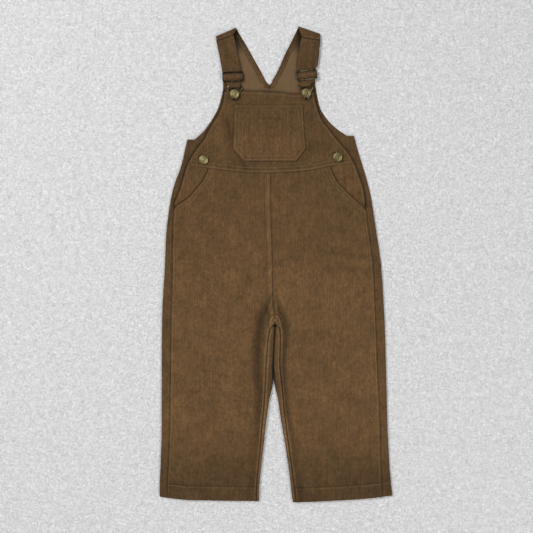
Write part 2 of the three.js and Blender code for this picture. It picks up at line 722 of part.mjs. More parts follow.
// Tack button: a neck under a flat cap with a rim
function button(neckHeight) {
  const profile = table("radius height", [
    [0, 0], [shankRadius, 0], [shankRadius, neckHeight], [buttonRadius - 0.9, neckHeight],
    [buttonRadius, neckHeight + 0.6], [buttonRadius, neckHeight + 1.2], [buttonRadius - 0.8, neckHeight + 2.0],
    [buttonRadius - 1.8, neckHeight + 1.6], [0, neckHeight + 2.1],
  ]);
  const points = profile.map((row) => new THREE.Vector2(row.radius, row.height));
  const geometry = new THREE.LatheGeometry(points, 16);
  geometry.rotateX(Math.PI / 2);
  geometry.deleteAttribute("normal");
  geometry.deleteAttribute("uv");
  return facingOut(mergeVertices(geometry));
}

const corduroy = { color: 0x5f4830, roughness: 0.95, metalness: 0 };
const cotton = { color: 0x6f583f, roughness: 0.9, metalness: 0 };
const darkMetal = { color: 0x35322a, roughness: 0.45, metalness: 0.9 };
const brass = { color: 0x7c6f40, roughness: 0.4, metalness: 0.9 };

const overalls = new THREE.Group();

function addPiece(name, geometry, finish, position = [0, 0, 0], turn = 0) {
  const mesh = new THREE.Mesh(geometry, new THREE.MeshStandardMaterial(finish));
  mesh.name = name;
  mesh.position.set(...position);
  mesh.rotation.z = THREE.MathUtils.degToRad(turn);
  overalls.add(mesh);
}

addPiece("front_bib", frontBib(), corduroy);
addPiece("bib_pocket", bibPocket(), corduroy);

const bibFace = frontLevel + wall / 2;
const tackHeight = wireLevel + wireRadius - bibFace;
const flapTackHeight = 1.0;
const flapTackEase = 0.1;

for (const [name, side] of Object.entries(outline)) {
  addPiece(`front_leg_${name}`, frontLeg(side), corduroy);
  addPiece(`pocket_facing_${name}`, pocketFacing(side), corduroy);
  addPiece(`back_leg_${name}`, backLeg(side), corduroy);
  addPiece(`back_bib_${name}`, backBib(side), corduroy);
  addPiece(`back_lining_${name}`, backLining(side), cotton);
  addPiece(`neck_border_${name}`, neckBorder(side), corduroy);
  addPiece(`strap_${name}`, strap(side), corduroy);
  addPiece(`slider_${name}`, slider(), darkMetal, [side.sign * side.slider.x, side.slider.y, 0], side.slider.tilt);
  addPiece(`buckle_${name}`, buckle(side), brass);
  const tackX = side.sign * side.button.x;
  addPiece(`bib_button_${name}`, button(tackHeight), brass, [tackX, side.button.y, bibFace + seamGap]);
  const flapX = side.sign * side.sideButton.x;
  const flapZ = bibLevel(flapX, side.sideButton.y) + wall / 2 + seamGap + flapTackEase;
  addPiece(`side_button_${name}`, button(flapTackHeight), brass, [flapX, side.sideButton.y, flapZ]);
}

export default overalls;
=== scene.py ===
"""Toddler overalls in fine corduroy, laid flat with the front up.

Outlines and heights are in millimetres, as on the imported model, and meshes are written in metres.
+X is to the right, +Y towards the shoulders, +Z up off the floor.
"""
import math
from types import SimpleNamespace

import bpy
import numpy as np
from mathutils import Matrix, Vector


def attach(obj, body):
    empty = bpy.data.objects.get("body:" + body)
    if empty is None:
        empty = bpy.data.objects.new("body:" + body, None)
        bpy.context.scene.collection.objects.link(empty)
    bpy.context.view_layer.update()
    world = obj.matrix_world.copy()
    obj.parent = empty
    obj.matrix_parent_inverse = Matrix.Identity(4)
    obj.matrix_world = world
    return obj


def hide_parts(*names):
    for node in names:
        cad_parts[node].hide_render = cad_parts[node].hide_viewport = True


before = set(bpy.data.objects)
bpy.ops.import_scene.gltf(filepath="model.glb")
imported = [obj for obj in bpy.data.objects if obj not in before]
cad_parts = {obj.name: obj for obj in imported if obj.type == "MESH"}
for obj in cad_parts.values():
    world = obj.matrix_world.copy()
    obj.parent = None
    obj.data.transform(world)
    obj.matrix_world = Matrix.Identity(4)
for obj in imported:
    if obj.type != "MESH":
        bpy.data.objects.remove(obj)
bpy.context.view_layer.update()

MM = 0.001

# Cloth
WALL = 1.3
LINING_WALL = 1.0
STRAP_WALL = 2.0
SEAM_GAP = 0.3
HALF_SEAM = SEAM_GAP / 2
CROTCH_EASE = 0.3

# Heights of the middle of each layer
BACK = WALL / 2
LINING = WALL + SEAM_GAP + LINING_WALL / 2
UNDERLAP = 2.35
FRONT = 4.0
POCKET_LIFT = WALL + SEAM_GAP
STRAP = LINING + LINING_WALL / 2 + SEAM_GAP + STRAP_WALL / 2
LOWEST_LEG = BACK + WALL + SEAM_GAP + 0.1
LOWEST_BIB = LINING + LINING_WALL / 2 + SEAM_GAP + WALL / 2

# Lines across the garment
HEM_Y = -340.0
HEM_DEPTH = 18.3
HEM_BEND_Y = -300.0
CROTCH_Y = -85.0
INSEAM_TOP_Y = -92.0
SEAM_TOP_Y = 78.0
OPENING_Y = 84.0
UNDERLAP_Y = 86.0
WAIST_BLEND_Y = 100.0
WAIST_Y = 142.0
NECK_POINT_Y = 259.6
CENTRE_BACK_X = -8.6

# Metal
WIRE_RADIUS = 0.9
WIRE_LEVEL = 6.2
BUTTON_RADIUS = 6.8
SHANK_RADIUS = 2.0
BAR_REACH = 12.0
SLIDER = SimpleNamespace(width=30.0, length=14.6, rail=1.3, bar=1.8, thick=1.6, level=6.0, middle_level=5.0)


def lerp(a, b, t):
    return a + (b - a) * t


def smooth(start, end, value):
    t = np.clip((np.asarray(value, float) - start) / (end - start), 0.0, 1.0)
    return t * t * (3 - 2 * t)


def bell(distance, half):
    return np.exp(-((distance / half) ** 2))


def line(rows):
    """A smooth line through (at, value) rows, straight past both ends."""
    rows = np.array(sorted(rows), float)
    at, value = rows[:, 0], rows[:, 1]
    before = np.maximum(np.arange(len(at)) - 1, 0)
    after = np.minimum(np.arange(len(at)) + 1, len(at) - 1)
    slope = (value[after] - value[before]) / (at[after] - at[before])

    def read(place):
        place = np.asarray(place, float)
        k = np.clip(np.searchsorted(at, place, side="right") - 1, 0, len(at) - 2)
        step = at[k + 1] - at[k]
        t = (place - at[k]) / step
        t2, t3 = t * t, t * t * t
        curve = ((2 * t3 - 3 * t2 + 1) * value[k] + (t3 - 2 * t2 + t) * step * slope[k]
                 + (3 * t2 - 2 * t3) * value[k + 1] + (t3 - t2) * step * slope[k + 1])
        return np.where((t < 0) | (t > 1), value[k] + t * (value[k + 1] - value[k]), curve)

    return read


# Outlines of each side. x is measured from the middle of the garment towards that side; rows are (y, x).
LEFT = SimpleNamespace(
    name="left", sign=-1,
    outer=line([
        (-336, 167.9), (-313, 167.5), (-284, 166.2), (-240, 165.0), (-96, 164.6), (-52, 163.3), (-9, 160.6),
        (35, 158.8), (64, 156.0), (93, 151.9), (107, 148.8), (122, 144.2), (136, 138.8), (151, 134.3),
        (165, 131.4), (180, 127.6)]),
    edge=line([
        (-340, 157.4), (-314, 156.3), (-283, 155.0), (-244, 153.4), (-204, 152.4), (-110, 151.6), (-55, 150.5),
        (-12, 149.4), (33, 149.0), (63, 148.0), (88, 145.7), (105, 138.8), (123, 133.6), (148, 125.2),
        (166, 113.9), (181, 102.9), (190, 98.4), (203, 90.8), (215, 83.6), (229, 77.7), (241, 74.8),
        (252, 74.0)]),
    opening=line([(SEAM_TOP_Y, 147.0), (84, 143.0), (95, 126.4), (106, 117.0), (122, 103.9), (143, 95.0)]),
    inner=line([
        (-343, 24.4), (-313, 23.0), (-284, 19.8), (-255, 16.6), (-226, 13.4), (-204, 10.2), (-183, 7.6),
        (-139, 5.0), (-100, 2.6), (-86, 1.6)]),
    inset=line([(-340, 3.6), (-255, 4.6), (-210, 6.0), (-183, 7.6), (-127, 8.2), (-104, 7.4), (-92, 5.4)]),
    trough=line([
        (-340, 12), (-250, 12), (-200, 14), (-160, 19), (-120, 22), (-95, 21.5), (-78, 19), (-60, 14),
        (-40, 9)]),
    trough_half=7.5,
    hem=line([(24, -342.0), (124, -340.4), (150, -338), (168, -335.8)]),
    armhole=line([
        (180, 117.0), (186, 109.9), (194, 102.0), (202, 96.6), (209, 91.8), (223, 84.0), (238, 79.0),
        (252, 76.0),
        (260, 75.6), (275, 76.4), (290, 78.8), (305, 81.6), (318, 84.2)]),
    neck=line([
        (NECK_POINT_Y, 9.2), (263, 13.4), (267, 16.0), (274, 19.2), (289, 27.6), (303, 35.4), (318, 43.8),
        (328, 50.8)]),
    waist_y=179.6, fold_outer=(86.2, 329.4), fold_inner=(57.6, 341.8),
    seam_outer=(85.2, 322.6), seam_inner=(61.6, 331.2),
    strap=[(84.9, 321.9, 61.4, 330.6), (82.4, 312.5, 58.4, 318.0), (79.8, 298.5, 55.2, 302.0),
           (77.0, 285.0, 51.6, 286.5)],
    slider=SimpleNamespace(x=61.8, y=270.1, tilt=3.0),
    button=SimpleNamespace(x=59.3, y=244.8, tilt=-2.0),
    side_button=(103.8, 150.1), grain=-1.0, strip_tone=0.78,
)
RIGHT = SimpleNamespace(
    name="right", sign=1,
    outer=line([
        (-334, 168.1), (-313, 166.5), (-284, 164.4), (-240, 162.1), (-168, 160.2), (-96, 158.3), (-52, 156.0),
        (-23, 154.3), (6, 151.7), (35, 147.5), (64, 143.0), (93, 138.9), (107, 135.8), (122, 132.0),
        (136, 127.8),
        (151, 123.2), (165, 118.9), (180, 114.9)]),
    edge=line([
        (-340, 154.4), (-315, 152.9), (-260, 151.4), (-220, 150.4), (-165, 147.9), (-110, 145.8), (-56, 143.6),
        (-26, 142.2), (4, 139.9), (33, 136.3), (63, 132.2), (84, 129.5), (105, 126.8), (120, 122.6),
        (144, 113.5),
        (161, 104.0), (179, 88.7), (193, 78.1), (208, 66.4), (231, 58.2), (245, 55.8), (256, 54.6)]),
    opening=line([(SEAM_TOP_Y, 129.2), (84, 124.4), (95, 111.6), (106, 100.6), (122, 87.0), (143, 77.4)]),
    inner=line([
        (-343.7, 25.3), (-313, 21.4), (-284, 17.4), (-255, 12.9), (-226, 7.9), (-197, 3.8), (-164, 0.2),
        (-146, -1.6), (-118, -1.0), (-100, -0.2), (-86, 0.4)]),
    inset=line([(-340, 4.0), (-255, 4.8), (-210, 6.4), (-183, 7.4), (-127, 7.6), (-104, 7.0), (-92, 5.2)]),
    trough=line([
        (-340, 12), (-250, 11), (-200, 10), (-160, 11.5), (-120, 14.5), (-95, 14.5), (-78, 11), (-60, 6),
        (-40, 4)]),
    trough_half=5.5,
    hem=line([(25, -343.7), (63, -342.4), (130, -338.4), (168, -334.2)]),
    armhole=line([
        (180, 107.0), (186, 101.6), (194, 90.2), (202, 81.0), (209, 74.8), (223, 65.4), (238, 60.9),
        (252, 58.3),
        (260, 57.0), (275, 57.2), (290, 58.4), (305, 60.0), (318, 61.8)]),
    neck=line([
        (NECK_POINT_Y, -7.8), (263, -5.0), (267, -3.6), (274, 0.6), (289, 7.8), (303, 13.6), (318, 21.4),
        (330, 27.6)]),
    waist_y=185.0, fold_outer=(64.7, 333.0), fold_inner=(33.6, 343.7),
    seam_outer=(64.2, 323.6), seam_inner=(38.4, 328.0),
    strap=[(64.0, 322.9, 38.2, 327.3), (62.4, 311.5, 35.4, 313.5), (61.8, 300.0, 33.4, 299.5),
           (60.2, 287.6, 32.0, 285.6)],
    slider=SimpleNamespace(x=44.6, y=272.7, tilt=6.5),
    button=SimpleNamespace(x=44.0, y=246.1, tilt=4.0),
    side_button=(89.3, 154.0), grain=1.2, strip_tone=0.83,
)
SIDES = (LEFT, RIGHT)

centre_front = line([
    (CROTCH_Y, -0.9), (-67, -2.8), (-46, -4.1), (-10, -4.5), (24, -5.2), (58, -6.3), (80, -7.4), (132, -7.4)])
waist_seam = line([
    (-126, 142.8), (-97, 138.4), (-63, 134.3), (-40, 132.2), (-12, 131.6), (24, 133.2), (50, 135.6),
    (78, 141.0),
    (95, 143.7), (114, 145.8)])
bib_top = line([(-76, 248.6), (-50, 249.2), (-20, 248.9), (5, 247.4), (30, 245.2), (56, 248.6)])

# Soft folds of the front: from (x, y) to (x, y), half width, rise. The first ones are those of the
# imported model.
FOLDS = [
    (-74, 214, -68, 190, 6, -0.45), (-68, 190, -63, 168, 6, -0.45), (-63, 168, -50, 146, 6, -0.45),
    (-84, 206, -80, 178, 7, 0.9), (-80, 178, -66, 152, 7, 0.7),
    (-149, 36, -122, 31, 6, -0.7), (82, 18, 122, 9, 6, -1.0), (84, 4, 132, 1, 6, 0.7),
    (80, -8, 140, -8, 7, -1.0),
    (-8, -48, -20, -84, 7, -1.0), (2, -42, 9, -72, 5, -1.0), (12, -34, 18, -66, 6, 0.6),
    (-60, -20, -96, -60, 16, 0.6), (60, -150, 110, -190, 18, -0.6), (-120, -190, -70, -240, 18, -0.6),
]
# Finer creases that only show close to
CREASES = [
    (-148, 27, -128, 30, 2.2, -0.45), (-146, 40, -134, 42, 2.0, -0.3), (96, 15, 124, 9, 2.0, -0.5),
    (104, 10, 128, 5, 1.8, 0.35), (88, -6, 120, -11, 2.2, -0.4), (112, 24, 134, 21, 1.8, -0.3),
    (-71, 206, -66, 186, 1.8, -0.25), (-60, 160, -52, 148, 1.8, -0.25), (-128, 8, -110, 6, 2.4, 0.25),
    (120, -70, 138, -64, 2.6, -0.3), (-150, -62, -132, -58, 2.4, -0.3), (40, -120, 52, -150, 3.0, -0.3),
    (-62, -260, -40, -280, 3.0, -0.3), (70, -262, 96, -276, 3.2, -0.3), (-140, -150, -120, -162, 3.0, -0.25),
]
# Sharp creases that run up from the crotch
CROTCH_CREASES = [
    (-6, -44, -15, -72, 2.2, -0.5), (-4, -56, -10, -78, 1.6, -0.5), (0.5, -46, 6, -72, 1.5, -0.6),
    (-2.4, -52, -1.0, -70, 1.2, -0.4), (5, -40, 13, -62, 1.8, 0.4), (-1, -40, 3, -62, 1.0, 0.3),
]
ROLL_RISE, ROLL_HALF = 1.9, 8.0
TROUGH_DEPTH, TROUGH_HALF = 1.3, 8.0


def fold_rise(folds, x, y):
    rise = np.zeros(np.broadcast(x, y).shape)
    for x0, y0, x1, y1, half, height in folds:
        dx, dy = x1 - x0, y1 - y0
        t = np.clip(((x - x0) * dx + (y - y0) * dy) / (dx * dx + dy * dy), 0, 1)
        rise += height * bell(np.hypot(x - x0 - t * dx, y - y0 - t * dy), half)
    return rise


def ripple(x, y, seed, wave, height):
    """Slow uneven swell of laid cloth: a few sine waves whose directions come from the seed."""
    rng = np.random.default_rng(seed)
    total = np.zeros(np.broadcast(x, y).shape)
    for _ in range(5):
        angle, phase = rng.uniform(0, 2 * math.pi, 2)
        length = wave * rng.uniform(0.6, 1.6)
        total += np.sin(2 * math.pi * (x * math.cos(angle) + y * math.sin(angle)) / length + phase)
    return height * total / 5


def inner_roll(side, x, y):
    distance = side.sign * x - side.inner(np.minimum(y, CROTCH_Y))
    strength = 1 - smooth(-100, -45, y)
    roll = ROLL_RISE * bell(np.maximum(distance, 0), ROLL_HALF) * (1 - 0.45 * smooth(-150, -300, y))
    trough = TROUGH_DEPTH * bell(distance - side.trough(y), TROUGH_HALF) * (1 - 0.6 * smooth(-160, -320, y))
    return strength * (roll - trough)


def leg_level(side, x, y, fine=1.0):
    edge_distance = side.opening(y) - side.sign * x
    lift = smooth(60, OPENING_Y, y) * (1 - smooth(9, 22, edge_distance))
    rise = inner_roll(side, x, y) + fold_rise(FOLDS, x, y)
    fine_rise = fold_rise(CREASES + CROTCH_CREASES, x, y)
    fine_rise = fine_rise + ripple(x, y, 4, 46, 0.32) + ripple(x, y, 9, 17, 0.08)
    rise += fine * fine_rise
    return np.maximum(FRONT + lift * POCKET_LIFT + (1 - lift) * rise, LOWEST_LEG)


POCKET_CORNERS = [(-95, 142, -88, 141, 7, POCKET_LIFT), (77, 142, 70, 141, 7, POCKET_LIFT)]


def bib_level(x, y, fine=1.0):
    rise = fold_rise(POCKET_CORNERS, x, y) + fold_rise(FOLDS, x, y)
    rise += fine * (fold_rise(CREASES, x, y) + ripple(x, y, 6, 40, 0.16))
    return np.maximum(FRONT + rise, LOWEST_BIB)


def inner_seam(side, y):
    """Where the front panel ends: the centre-front seam, and below the crotch the inseam."""
    y = np.asarray(y, float)
    above = side.sign * centre_front(np.maximum(y, CROTCH_Y)) + HALF_SEAM
    low = np.minimum(y, INSEAM_TOP_Y)
    below = side.inner(low) + side.inset(low) + HALF_SEAM + CROTCH_EASE * smooth(-112, INSEAM_TOP_Y, low)
    share = np.clip((y - INSEAM_TOP_Y) / (CROTCH_Y - INSEAM_TOP_Y), 0, 1)
    return lerp(below, above, share)


def outer_seam(side, y):
    y = np.asarray(y, float)
    return np.where(y <= SEAM_TOP_Y, side.edge(y) - HALF_SEAM, side.opening(np.maximum(y, SEAM_TOP_Y)))


def bent_y(side, x, y):
    share = np.clip((y - HEM_BEND_Y) / (HEM_Y - HEM_BEND_Y), 0, None)
    return np.where(y < HEM_BEND_Y, lerp(HEM_BEND_Y, side.hem(side.sign * x), share), y)


def spaced(start, end, coarse, stops=(), fine=None, band=8.0):
    """Places from start to end: coarse steps, and fine ones within band of each stop."""
    fine = fine or coarse
    places = [start]
    while places[-1] < end:
        near = any(abs(places[-1] - stop) < band for stop in stops)
        places.append(places[-1] + (fine if near else coarse))
    places = np.array(places)
    return start + (places - start) * (end - start) / (places[-1] - start)


def distance_to_path(x, y, path):
    best = np.full(x.shape, 1e9)
    for (x0, y0), (x1, y1) in zip(path[:-1], path[1:]):
        dx, dy = x1 - x0, y1 - y0
        t = np.clip(((x - x0) * dx + (y - y0) * dy) / max(dx * dx + dy * dy, 1e-9), 0, 1)
        best = np.minimum(best, np.hypot(x - x0 - t * dx, y - y0 - t * dy))
    return best


def near(x, y, path, half):
    """1 on the path, and less with the distance from it."""
    return bell(distance_to_path(x, y, path), half)


def paired(x, y):
    """A path from its x and its y values."""
    return np.stack([x, y], axis=1)


def shifted(path, distance):
    """A path moved sideways, to the left of its direction."""
    path = np.asarray(path, float)
    along = np.gradient(path, axis=0)
    along /= np.linalg.norm(along, axis=1, keepdims=True)
    return path + distance * paired(-along[:, 1], along[:, 0])


# Meshes

def unit(vectors):
    return vectors / np.maximum(np.linalg.norm(vectors, axis=-1, keepdims=True), 1e-12)


def grid_normals(grid):
    across = np.empty_like(grid)
    across[:, 1:-1] = grid[:, 2:] - grid[:, :-2]
    across[:, 0] = grid[:, 1] - grid[:, 0]
    across[:, -1] = grid[:, -1] - grid[:, -2]
    along = np.empty_like(grid)
    along[1:-1] = grid[2:] - grid[:-2]
    along[0] = grid[1] - grid[0]
    along[-1] = grid[-1] - grid[-2]
    return unit(np.cross(across, along)), across, along


def quads(rows, columns, start, flip=False):
    a = start + (np.arange(rows - 1)[:, None] * columns + np.arange(columns - 1)[None, :]).ravel()
    b = a + 1 if not flip else a + columns
    d = a + columns if not flip else a + 1
    return np.stack([a, b, a + columns + 1, d], axis=1)


def add_mesh(name, points, faces, material, tone=None, smooth_faces=True):
    mesh = bpy.data.meshes.new(name)
    mesh.from_pydata((np.asarray(points) * MM).tolist(), [], [list(map(int, f)) for f in faces])
    mesh.materials.append(material)
    if smooth_faces:
        mesh.shade_smooth()
    if tone is not None:
        layer = mesh.attributes.new("tone", "FLOAT", "POINT")
        layer.data.foreach_set("value", np.asarray(tone, np.float32))
    mesh.validate()
    piece = bpy.data.objects.new(name, mesh)
    bpy.context.scene.collection.objects.link(piece)
    return piece


def cloth(name, grid, thickness, material, tone=None, relief=None, edge=0.35):
    """A closed wall of cloth on a grid (rows, columns, 3) of the middle of the cloth, with rounded edges.
    relief raises the upper face only, and tone shades the cloth."""
    rows, columns, _ = grid.shape
    normal, across, along = grid_normals(grid)
    half = np.broadcast_to(np.asarray(thickness, float) / 2, (rows, columns))[..., None]
    raised = 0 if relief is None else relief[..., None]
    tone = np.ones((rows, columns)) if tone is None else tone
    top = grid + normal * (half + raised)
    under = grid - normal * half
    loop = [(0, j) for j in range(columns)] + [(i, columns - 1) for i in range(1, rows)]
    loop += [(rows - 1, j) for j in range(columns - 2, -1, -1)] + [(i, 0) for i in range(rows - 2, 0, -1)]
    row, column = np.array(loop).T
    outward = np.zeros((len(loop), 3))
    outward += np.where(row == 0, -1, 0)[:, None] * unit(along[row, column])
    outward += np.where(row == rows - 1, 1, 0)[:, None] * unit(along[row, column])
    outward += np.where(column == 0, -1, 0)[:, None] * unit(across[row, column])
    outward += np.where(column == columns - 1, 1, 0)[:, None] * unit(across[row, column])
    outward = unit(outward)
    middle = (top[row, column] + under[row, column]) / 2
    spread = (top[row, column] - under[row, column]) / 2
    rings = [
        middle + spread * math.cos(angle) + outward * edge * half[row, column] * 2 * math.sin(angle)
        for angle in (math.pi / 4, math.pi / 2, 3 * math.pi / 4)]
    points = np.concatenate([top.reshape(-1, 3), under.reshape(-1, 3), *rings])
    tones = np.concatenate([tone.ravel(), tone.ravel(), *[tone[row, column]] * 3])
    count = rows * columns
    upper = row * columns + column
    belts = [upper, *[2 * count + k * len(loop) + np.arange(len(loop)) for k in range(3)], count + upper]
    faces = [quads(rows, columns, 0), quads(rows, columns, count, flip=True)]
    for high, low in zip(belts[:-1], belts[1:]):
        faces.append(np.stack([high, low, np.roll(low, -1), np.roll(high, -1)], axis=1))
    return add_mesh(name, points, np.concatenate(faces), material, tones)


def cut_of(grid):
    """Width, length and area, in metres, of the cloth on a grid: what was cut, since laid cloth isn't
    stretched."""
    step_across = np.linalg.norm(np.diff(grid, axis=1), axis=2)
    step_along = np.linalg.norm(np.diff(grid, axis=0), axis=2)
    p, q, r, s = grid[:-1, :-1], grid[:-1, 1:], grid[1:, 1:], grid[1:, :-1]
    area = np.linalg.norm(np.cross(r - p, s - q), axis=2).sum() / 2
    width, length = step_across.sum(1).max() * MM, step_along.sum(0).max() * MM
    return width, length, min(area * MM * MM, width * length)


def stitch_mesh(name, rows, material, level_at, pitch=3.0, length=2.3, thick=0.5):
    """All stitches of the given paths as one mesh of short bulged threads that dive at both ends."""
    sides, rings = 6, 5
    t = np.linspace(-1, 1, rings)
    girth = thick / 2 * np.sqrt(np.clip(1 - t ** 4, 0.04, 1))
    points, faces = [], []
    count = 0
    for path in rows:
        path = np.asarray(path, float)
        leg = np.hypot(*np.diff(path, axis=0).T)
        at = np.concatenate([[0], np.cumsum(leg)])
        number = max(int(at[-1] / pitch), 1)
        centre = (np.arange(number) + 0.5) * at[-1] / number
        offsets = t * length / 2
        place = np.clip(centre[:, None] + offsets[None, :], 0, at[-1])
        x = np.interp(place, at, path[:, 0])
        y = np.interp(place, at, path[:, 1])
        z = level_at(x, y) + 0.16 * (1 - t ** 2)[None, :] - 0.06
        spine = np.stack([x, y, z], axis=-1)
        direction = unit(spine[:, -1] - spine[:, 0])
        sideways = unit(np.stack([-direction[:, 1], direction[:, 0], np.zeros(number)], axis=-1))
        upward = np.cross(direction, sideways)
        angle = 2 * math.pi * np.arange(sides) / sides
        ring = (sideways[:, None, None, :] * np.cos(angle)[None, None, :, None]
                + upward[:, None, None, :] * np.sin(angle)[None, None, :, None])
        body = spine[:, :, None, :] + ring * girth[None, :, None, None]
        points.append(body.reshape(-1, 3))
        base = count + np.arange(number)[:, None, None] * rings * sides
        k = np.arange(rings - 1)[None, :, None] * sides
        s = np.arange(sides)[None, None, :]
        after = (s + 1) % sides
        faces += np.stack([base + k + s, base + k + after, base + k + sides + after, base + k + sides + s],
                          axis=-1).reshape(-1, 4).tolist()
        for start, order in ((0, range(sides - 1, -1, -1)), ((rings - 1) * sides, range(sides))):
            caps = base[:, 0, 0][:, None] + start + np.array(list(order))[None, :]
            faces += caps.tolist()
        count += number * rings * sides
    return add_mesh(name, np.concatenate(points), faces, material)


STITCH_SINK = 0.12


def level_of(height):
    """The same height everywhere, for stitches on level cloth."""
    return lambda x, y: height + 0 * x


# Materials

def new_material(name):
    material = bpy.data.materials.new(name)
    material.use_nodes = True
    tree = material.node_tree
    tree.nodes.clear()
    shader = tree.nodes.new("ShaderNodeBsdfPrincipled")
    output = tree.nodes.new("ShaderNodeOutputMaterial")
    tree.links.new(shader.outputs["BSDF"], output.inputs["Surface"])
    return material, tree, shader


def node(tree, kind, inputs=(), **settings):
    made = tree.nodes.new("ShaderNode" + kind)
    for key, value in settings.items():
        setattr(made, key, value)
    for key, value in dict(inputs).items():
        if isinstance(value, bpy.types.NodeSocket):
            tree.links.new(value, made.inputs[key])
        else:
            made.inputs[key].default_value = value
    return made


def maths(tree, operation, a, b=0.0, c=0.0):
    return node(tree, "Math", {0: a, 1: b, 2: c}, operation=operation).outputs[0]


def place(tree, angle=0.0, scale=(1, 1, 1)):
    """Object coordinates, turned so that the wales run up the cloth."""
    coordinates = node(tree, "TexCoord").outputs["Object"]
    return node(tree, "Mapping", {
        "Vector": coordinates, "Rotation": (0, 0, math.radians(angle)), "Scale": scale}).outputs["Vector"]


def noise(tree, vector, scale, detail=2.0, roughness=0.5, twist=0.0):
    return node(tree, "TexNoise", {
        "Vector": vector, "Scale": scale, "Detail": detail, "Roughness": roughness,
        "Distortion": twist}).outputs["Fac"]


def ranged(tree, value, low, high):
    return node(tree, "MapRange", {
        "Value": value, "From Min": 0.25, "From Max": 0.75, "To Min": low, "To Max": high}).outputs["Result"]


def mixed(tree, factor, a, b, blend="MIX"):
    """A blend of a and b; each of the three may be a plain value or a socket."""
    mix = tree.nodes.new("ShaderNodeMix")
    mix.data_type = "RGBA"
    mix.blend_type = blend
    for socket, value in ((mix.inputs["Factor"], factor), (mix.inputs[6], a), (mix.inputs[7], b)):
        if isinstance(value, bpy.types.NodeSocket):
            tree.links.new(value, socket)
        else:
            socket.default_value = value
    return mix.outputs[2]


def tinted(tree, colour, factor):
    """A colour times a number that varies over the surface."""
    plain = not isinstance(colour, bpy.types.NodeSocket)
    return mixed(tree, 1.0, (*colour, 1) if plain else colour, factor, "MULTIPLY")


def tone_attribute(tree):
    return node(tree, "Attribute", attribute_name="tone", attribute_type="GEOMETRY").outputs["Fac"]


def varied(tree, factor, parts):
    """A factor times 1 - spread to 1 + spread for each (value, spread), and times the tone stored on the piece,
    which holds its painted shade and highlights as well as its other colour differences.
    """
    for value, spread in parts:
        factor = maths(tree, "MULTIPLY", factor, ranged(tree, value, 1 - spread, 1 + spread))
    return maths(tree, "MULTIPLY", factor, tone_attribute(tree))


def bumped(tree, shader, height, strength, depth_mm):
    bump = node(tree, "Bump", {"Height": height, "Strength": strength, "Distance": depth_mm * MM})
    tree.links.new(bump.outputs["Normal"], shader.inputs["Normal"])


def set_even(shader, values):
    """Values that are the same all over the surface, on the shader's own sockets."""
    for key, value in values.items():
        shader.inputs[key].default_value = value


CORD_COLOUR = (0.1242, 0.0697, 0.0296)
WALE_PITCH = 2.4 * MM
WARM, OLIVE = (1.03, 0.985, 0.95), (0.98, 1.01, 1.0)


def two_tone(tree, colour, mask):
    """A colour that drifts between a warmer and a more olive shade."""
    olive, warm = ((*[c * w for c, w in zip(colour, shade)], 1) for shade in (OLIVE, WARM))
    return mixed(tree, mask, olive, warm)


def corduroy(name, angle=0.0, bright=1.0, streaks=0.12):
    """Fine-wale corduroy: rounded ribs of pile with painted shade in the lines between them, short streaks
    along the wales, mottled patches where the pile lies another way, and short fibres."""
    material, tree, shader = new_material(name)
    flat = place(tree, angle)
    sway = noise(tree, place(tree, angle, (1, 0.35, 1)), 30, 1.0)
    across = node(tree, "SeparateXYZ", {0: flat}).outputs[0]
    across = maths(tree, "ADD", across, maths(tree, "MULTIPLY", maths(tree, "SUBTRACT", sway, 0.5), 3.0 * MM))
    wave = maths(tree, "SINE", maths(tree, "MULTIPLY", across, 2 * math.pi / WALE_PITCH))
    wale = maths(tree, "POWER", maths(tree, "MULTIPLY_ADD", wave, 0.5, 0.5), 0.6)
    pile = noise(tree, place(tree, angle, (1, 0.6, 1)), 1300, 2.0, 0.6)
    tuft = noise(tree, place(tree, angle, (1, 0.7, 1)), 330, 2.0)
    streak = noise(tree, place(tree, angle, (1, 0.10, 1)), 260, 3.0, 0.65)
    mottle = noise(tree, flat, 70, 5.0, 0.66)
    patch = noise(tree, flat, 15, 3.0, 0.55)
    drift = noise(tree, flat, 34, 3.0, 0.6)
    # Painted shade: the colour darkens in the valleys between the wales.
    factor = varied(tree, ranged(tree, wale, 0.89, 1.07), (
        (pile, 0.24), (tuft, 0.24), (streak, streaks), (mottle, 0.23), (patch, 0.11)))
    colour = two_tone(tree, [c * bright for c in CORD_COLOUR], ranged(tree, drift, 0.0, 1.0))
    tree.links.new(tinted(tree, colour, factor), shader.inputs["Base Color"])
    height = maths(tree, "MULTIPLY_ADD", pile, 0.25, wale)
    height = maths(tree, "MULTIPLY_ADD", tuft, 0.35, height)
    height = maths(tree, "MULTIPLY_ADD", mottle, 0.8, height)
    bumped(tree, shader, height, 0.8, 0.45)
    set_even(shader, {
        "Roughness": 0.92, "Specular IOR Level": 0.15, "Sheen Weight": 0.18,
        "Sheen Roughness": 0.45, "Sheen Tint": (0.80, 0.60, 0.38, 1)})
    return material


def woven(name, colour):
    """Plain-woven cotton: two crossed sets of threads, and slubs."""
    material, tree, shader = new_material(name)
    flat = place(tree, 4)
    split = node(tree, "SeparateXYZ", {0: flat})
    threads = [
        maths(tree, "MULTIPLY_ADD",
        maths(tree, "SINE", maths(tree, "MULTIPLY", split.outputs[k], 2 * math.pi / pitch)),
              0.5, 0.5)
        for k, pitch in ((0, 0.55 * MM), (1, 0.6 * MM))]
    weave = maths(tree, "MAXIMUM", *threads)
    slub = noise(tree, place(tree, 4, (1, 0.08, 1)), 500, 2.0)
    patch = noise(tree, flat, 40, 3.0)
    # Painted shade: the colour darkens in the hollows between the threads.
    factor = varied(tree, ranged(tree, weave, 0.90, 1.05), ((slub, 0.07), (patch, 0.08)))
    tree.links.new(tinted(tree, colour, factor), shader.inputs["Base Color"])
    bumped(tree, shader, weave, 0.4, 0.12)
    set_even(shader, {"Roughness": 0.85, "Specular IOR Level": 0.25, "Sheen Weight": 0.1})
    return material


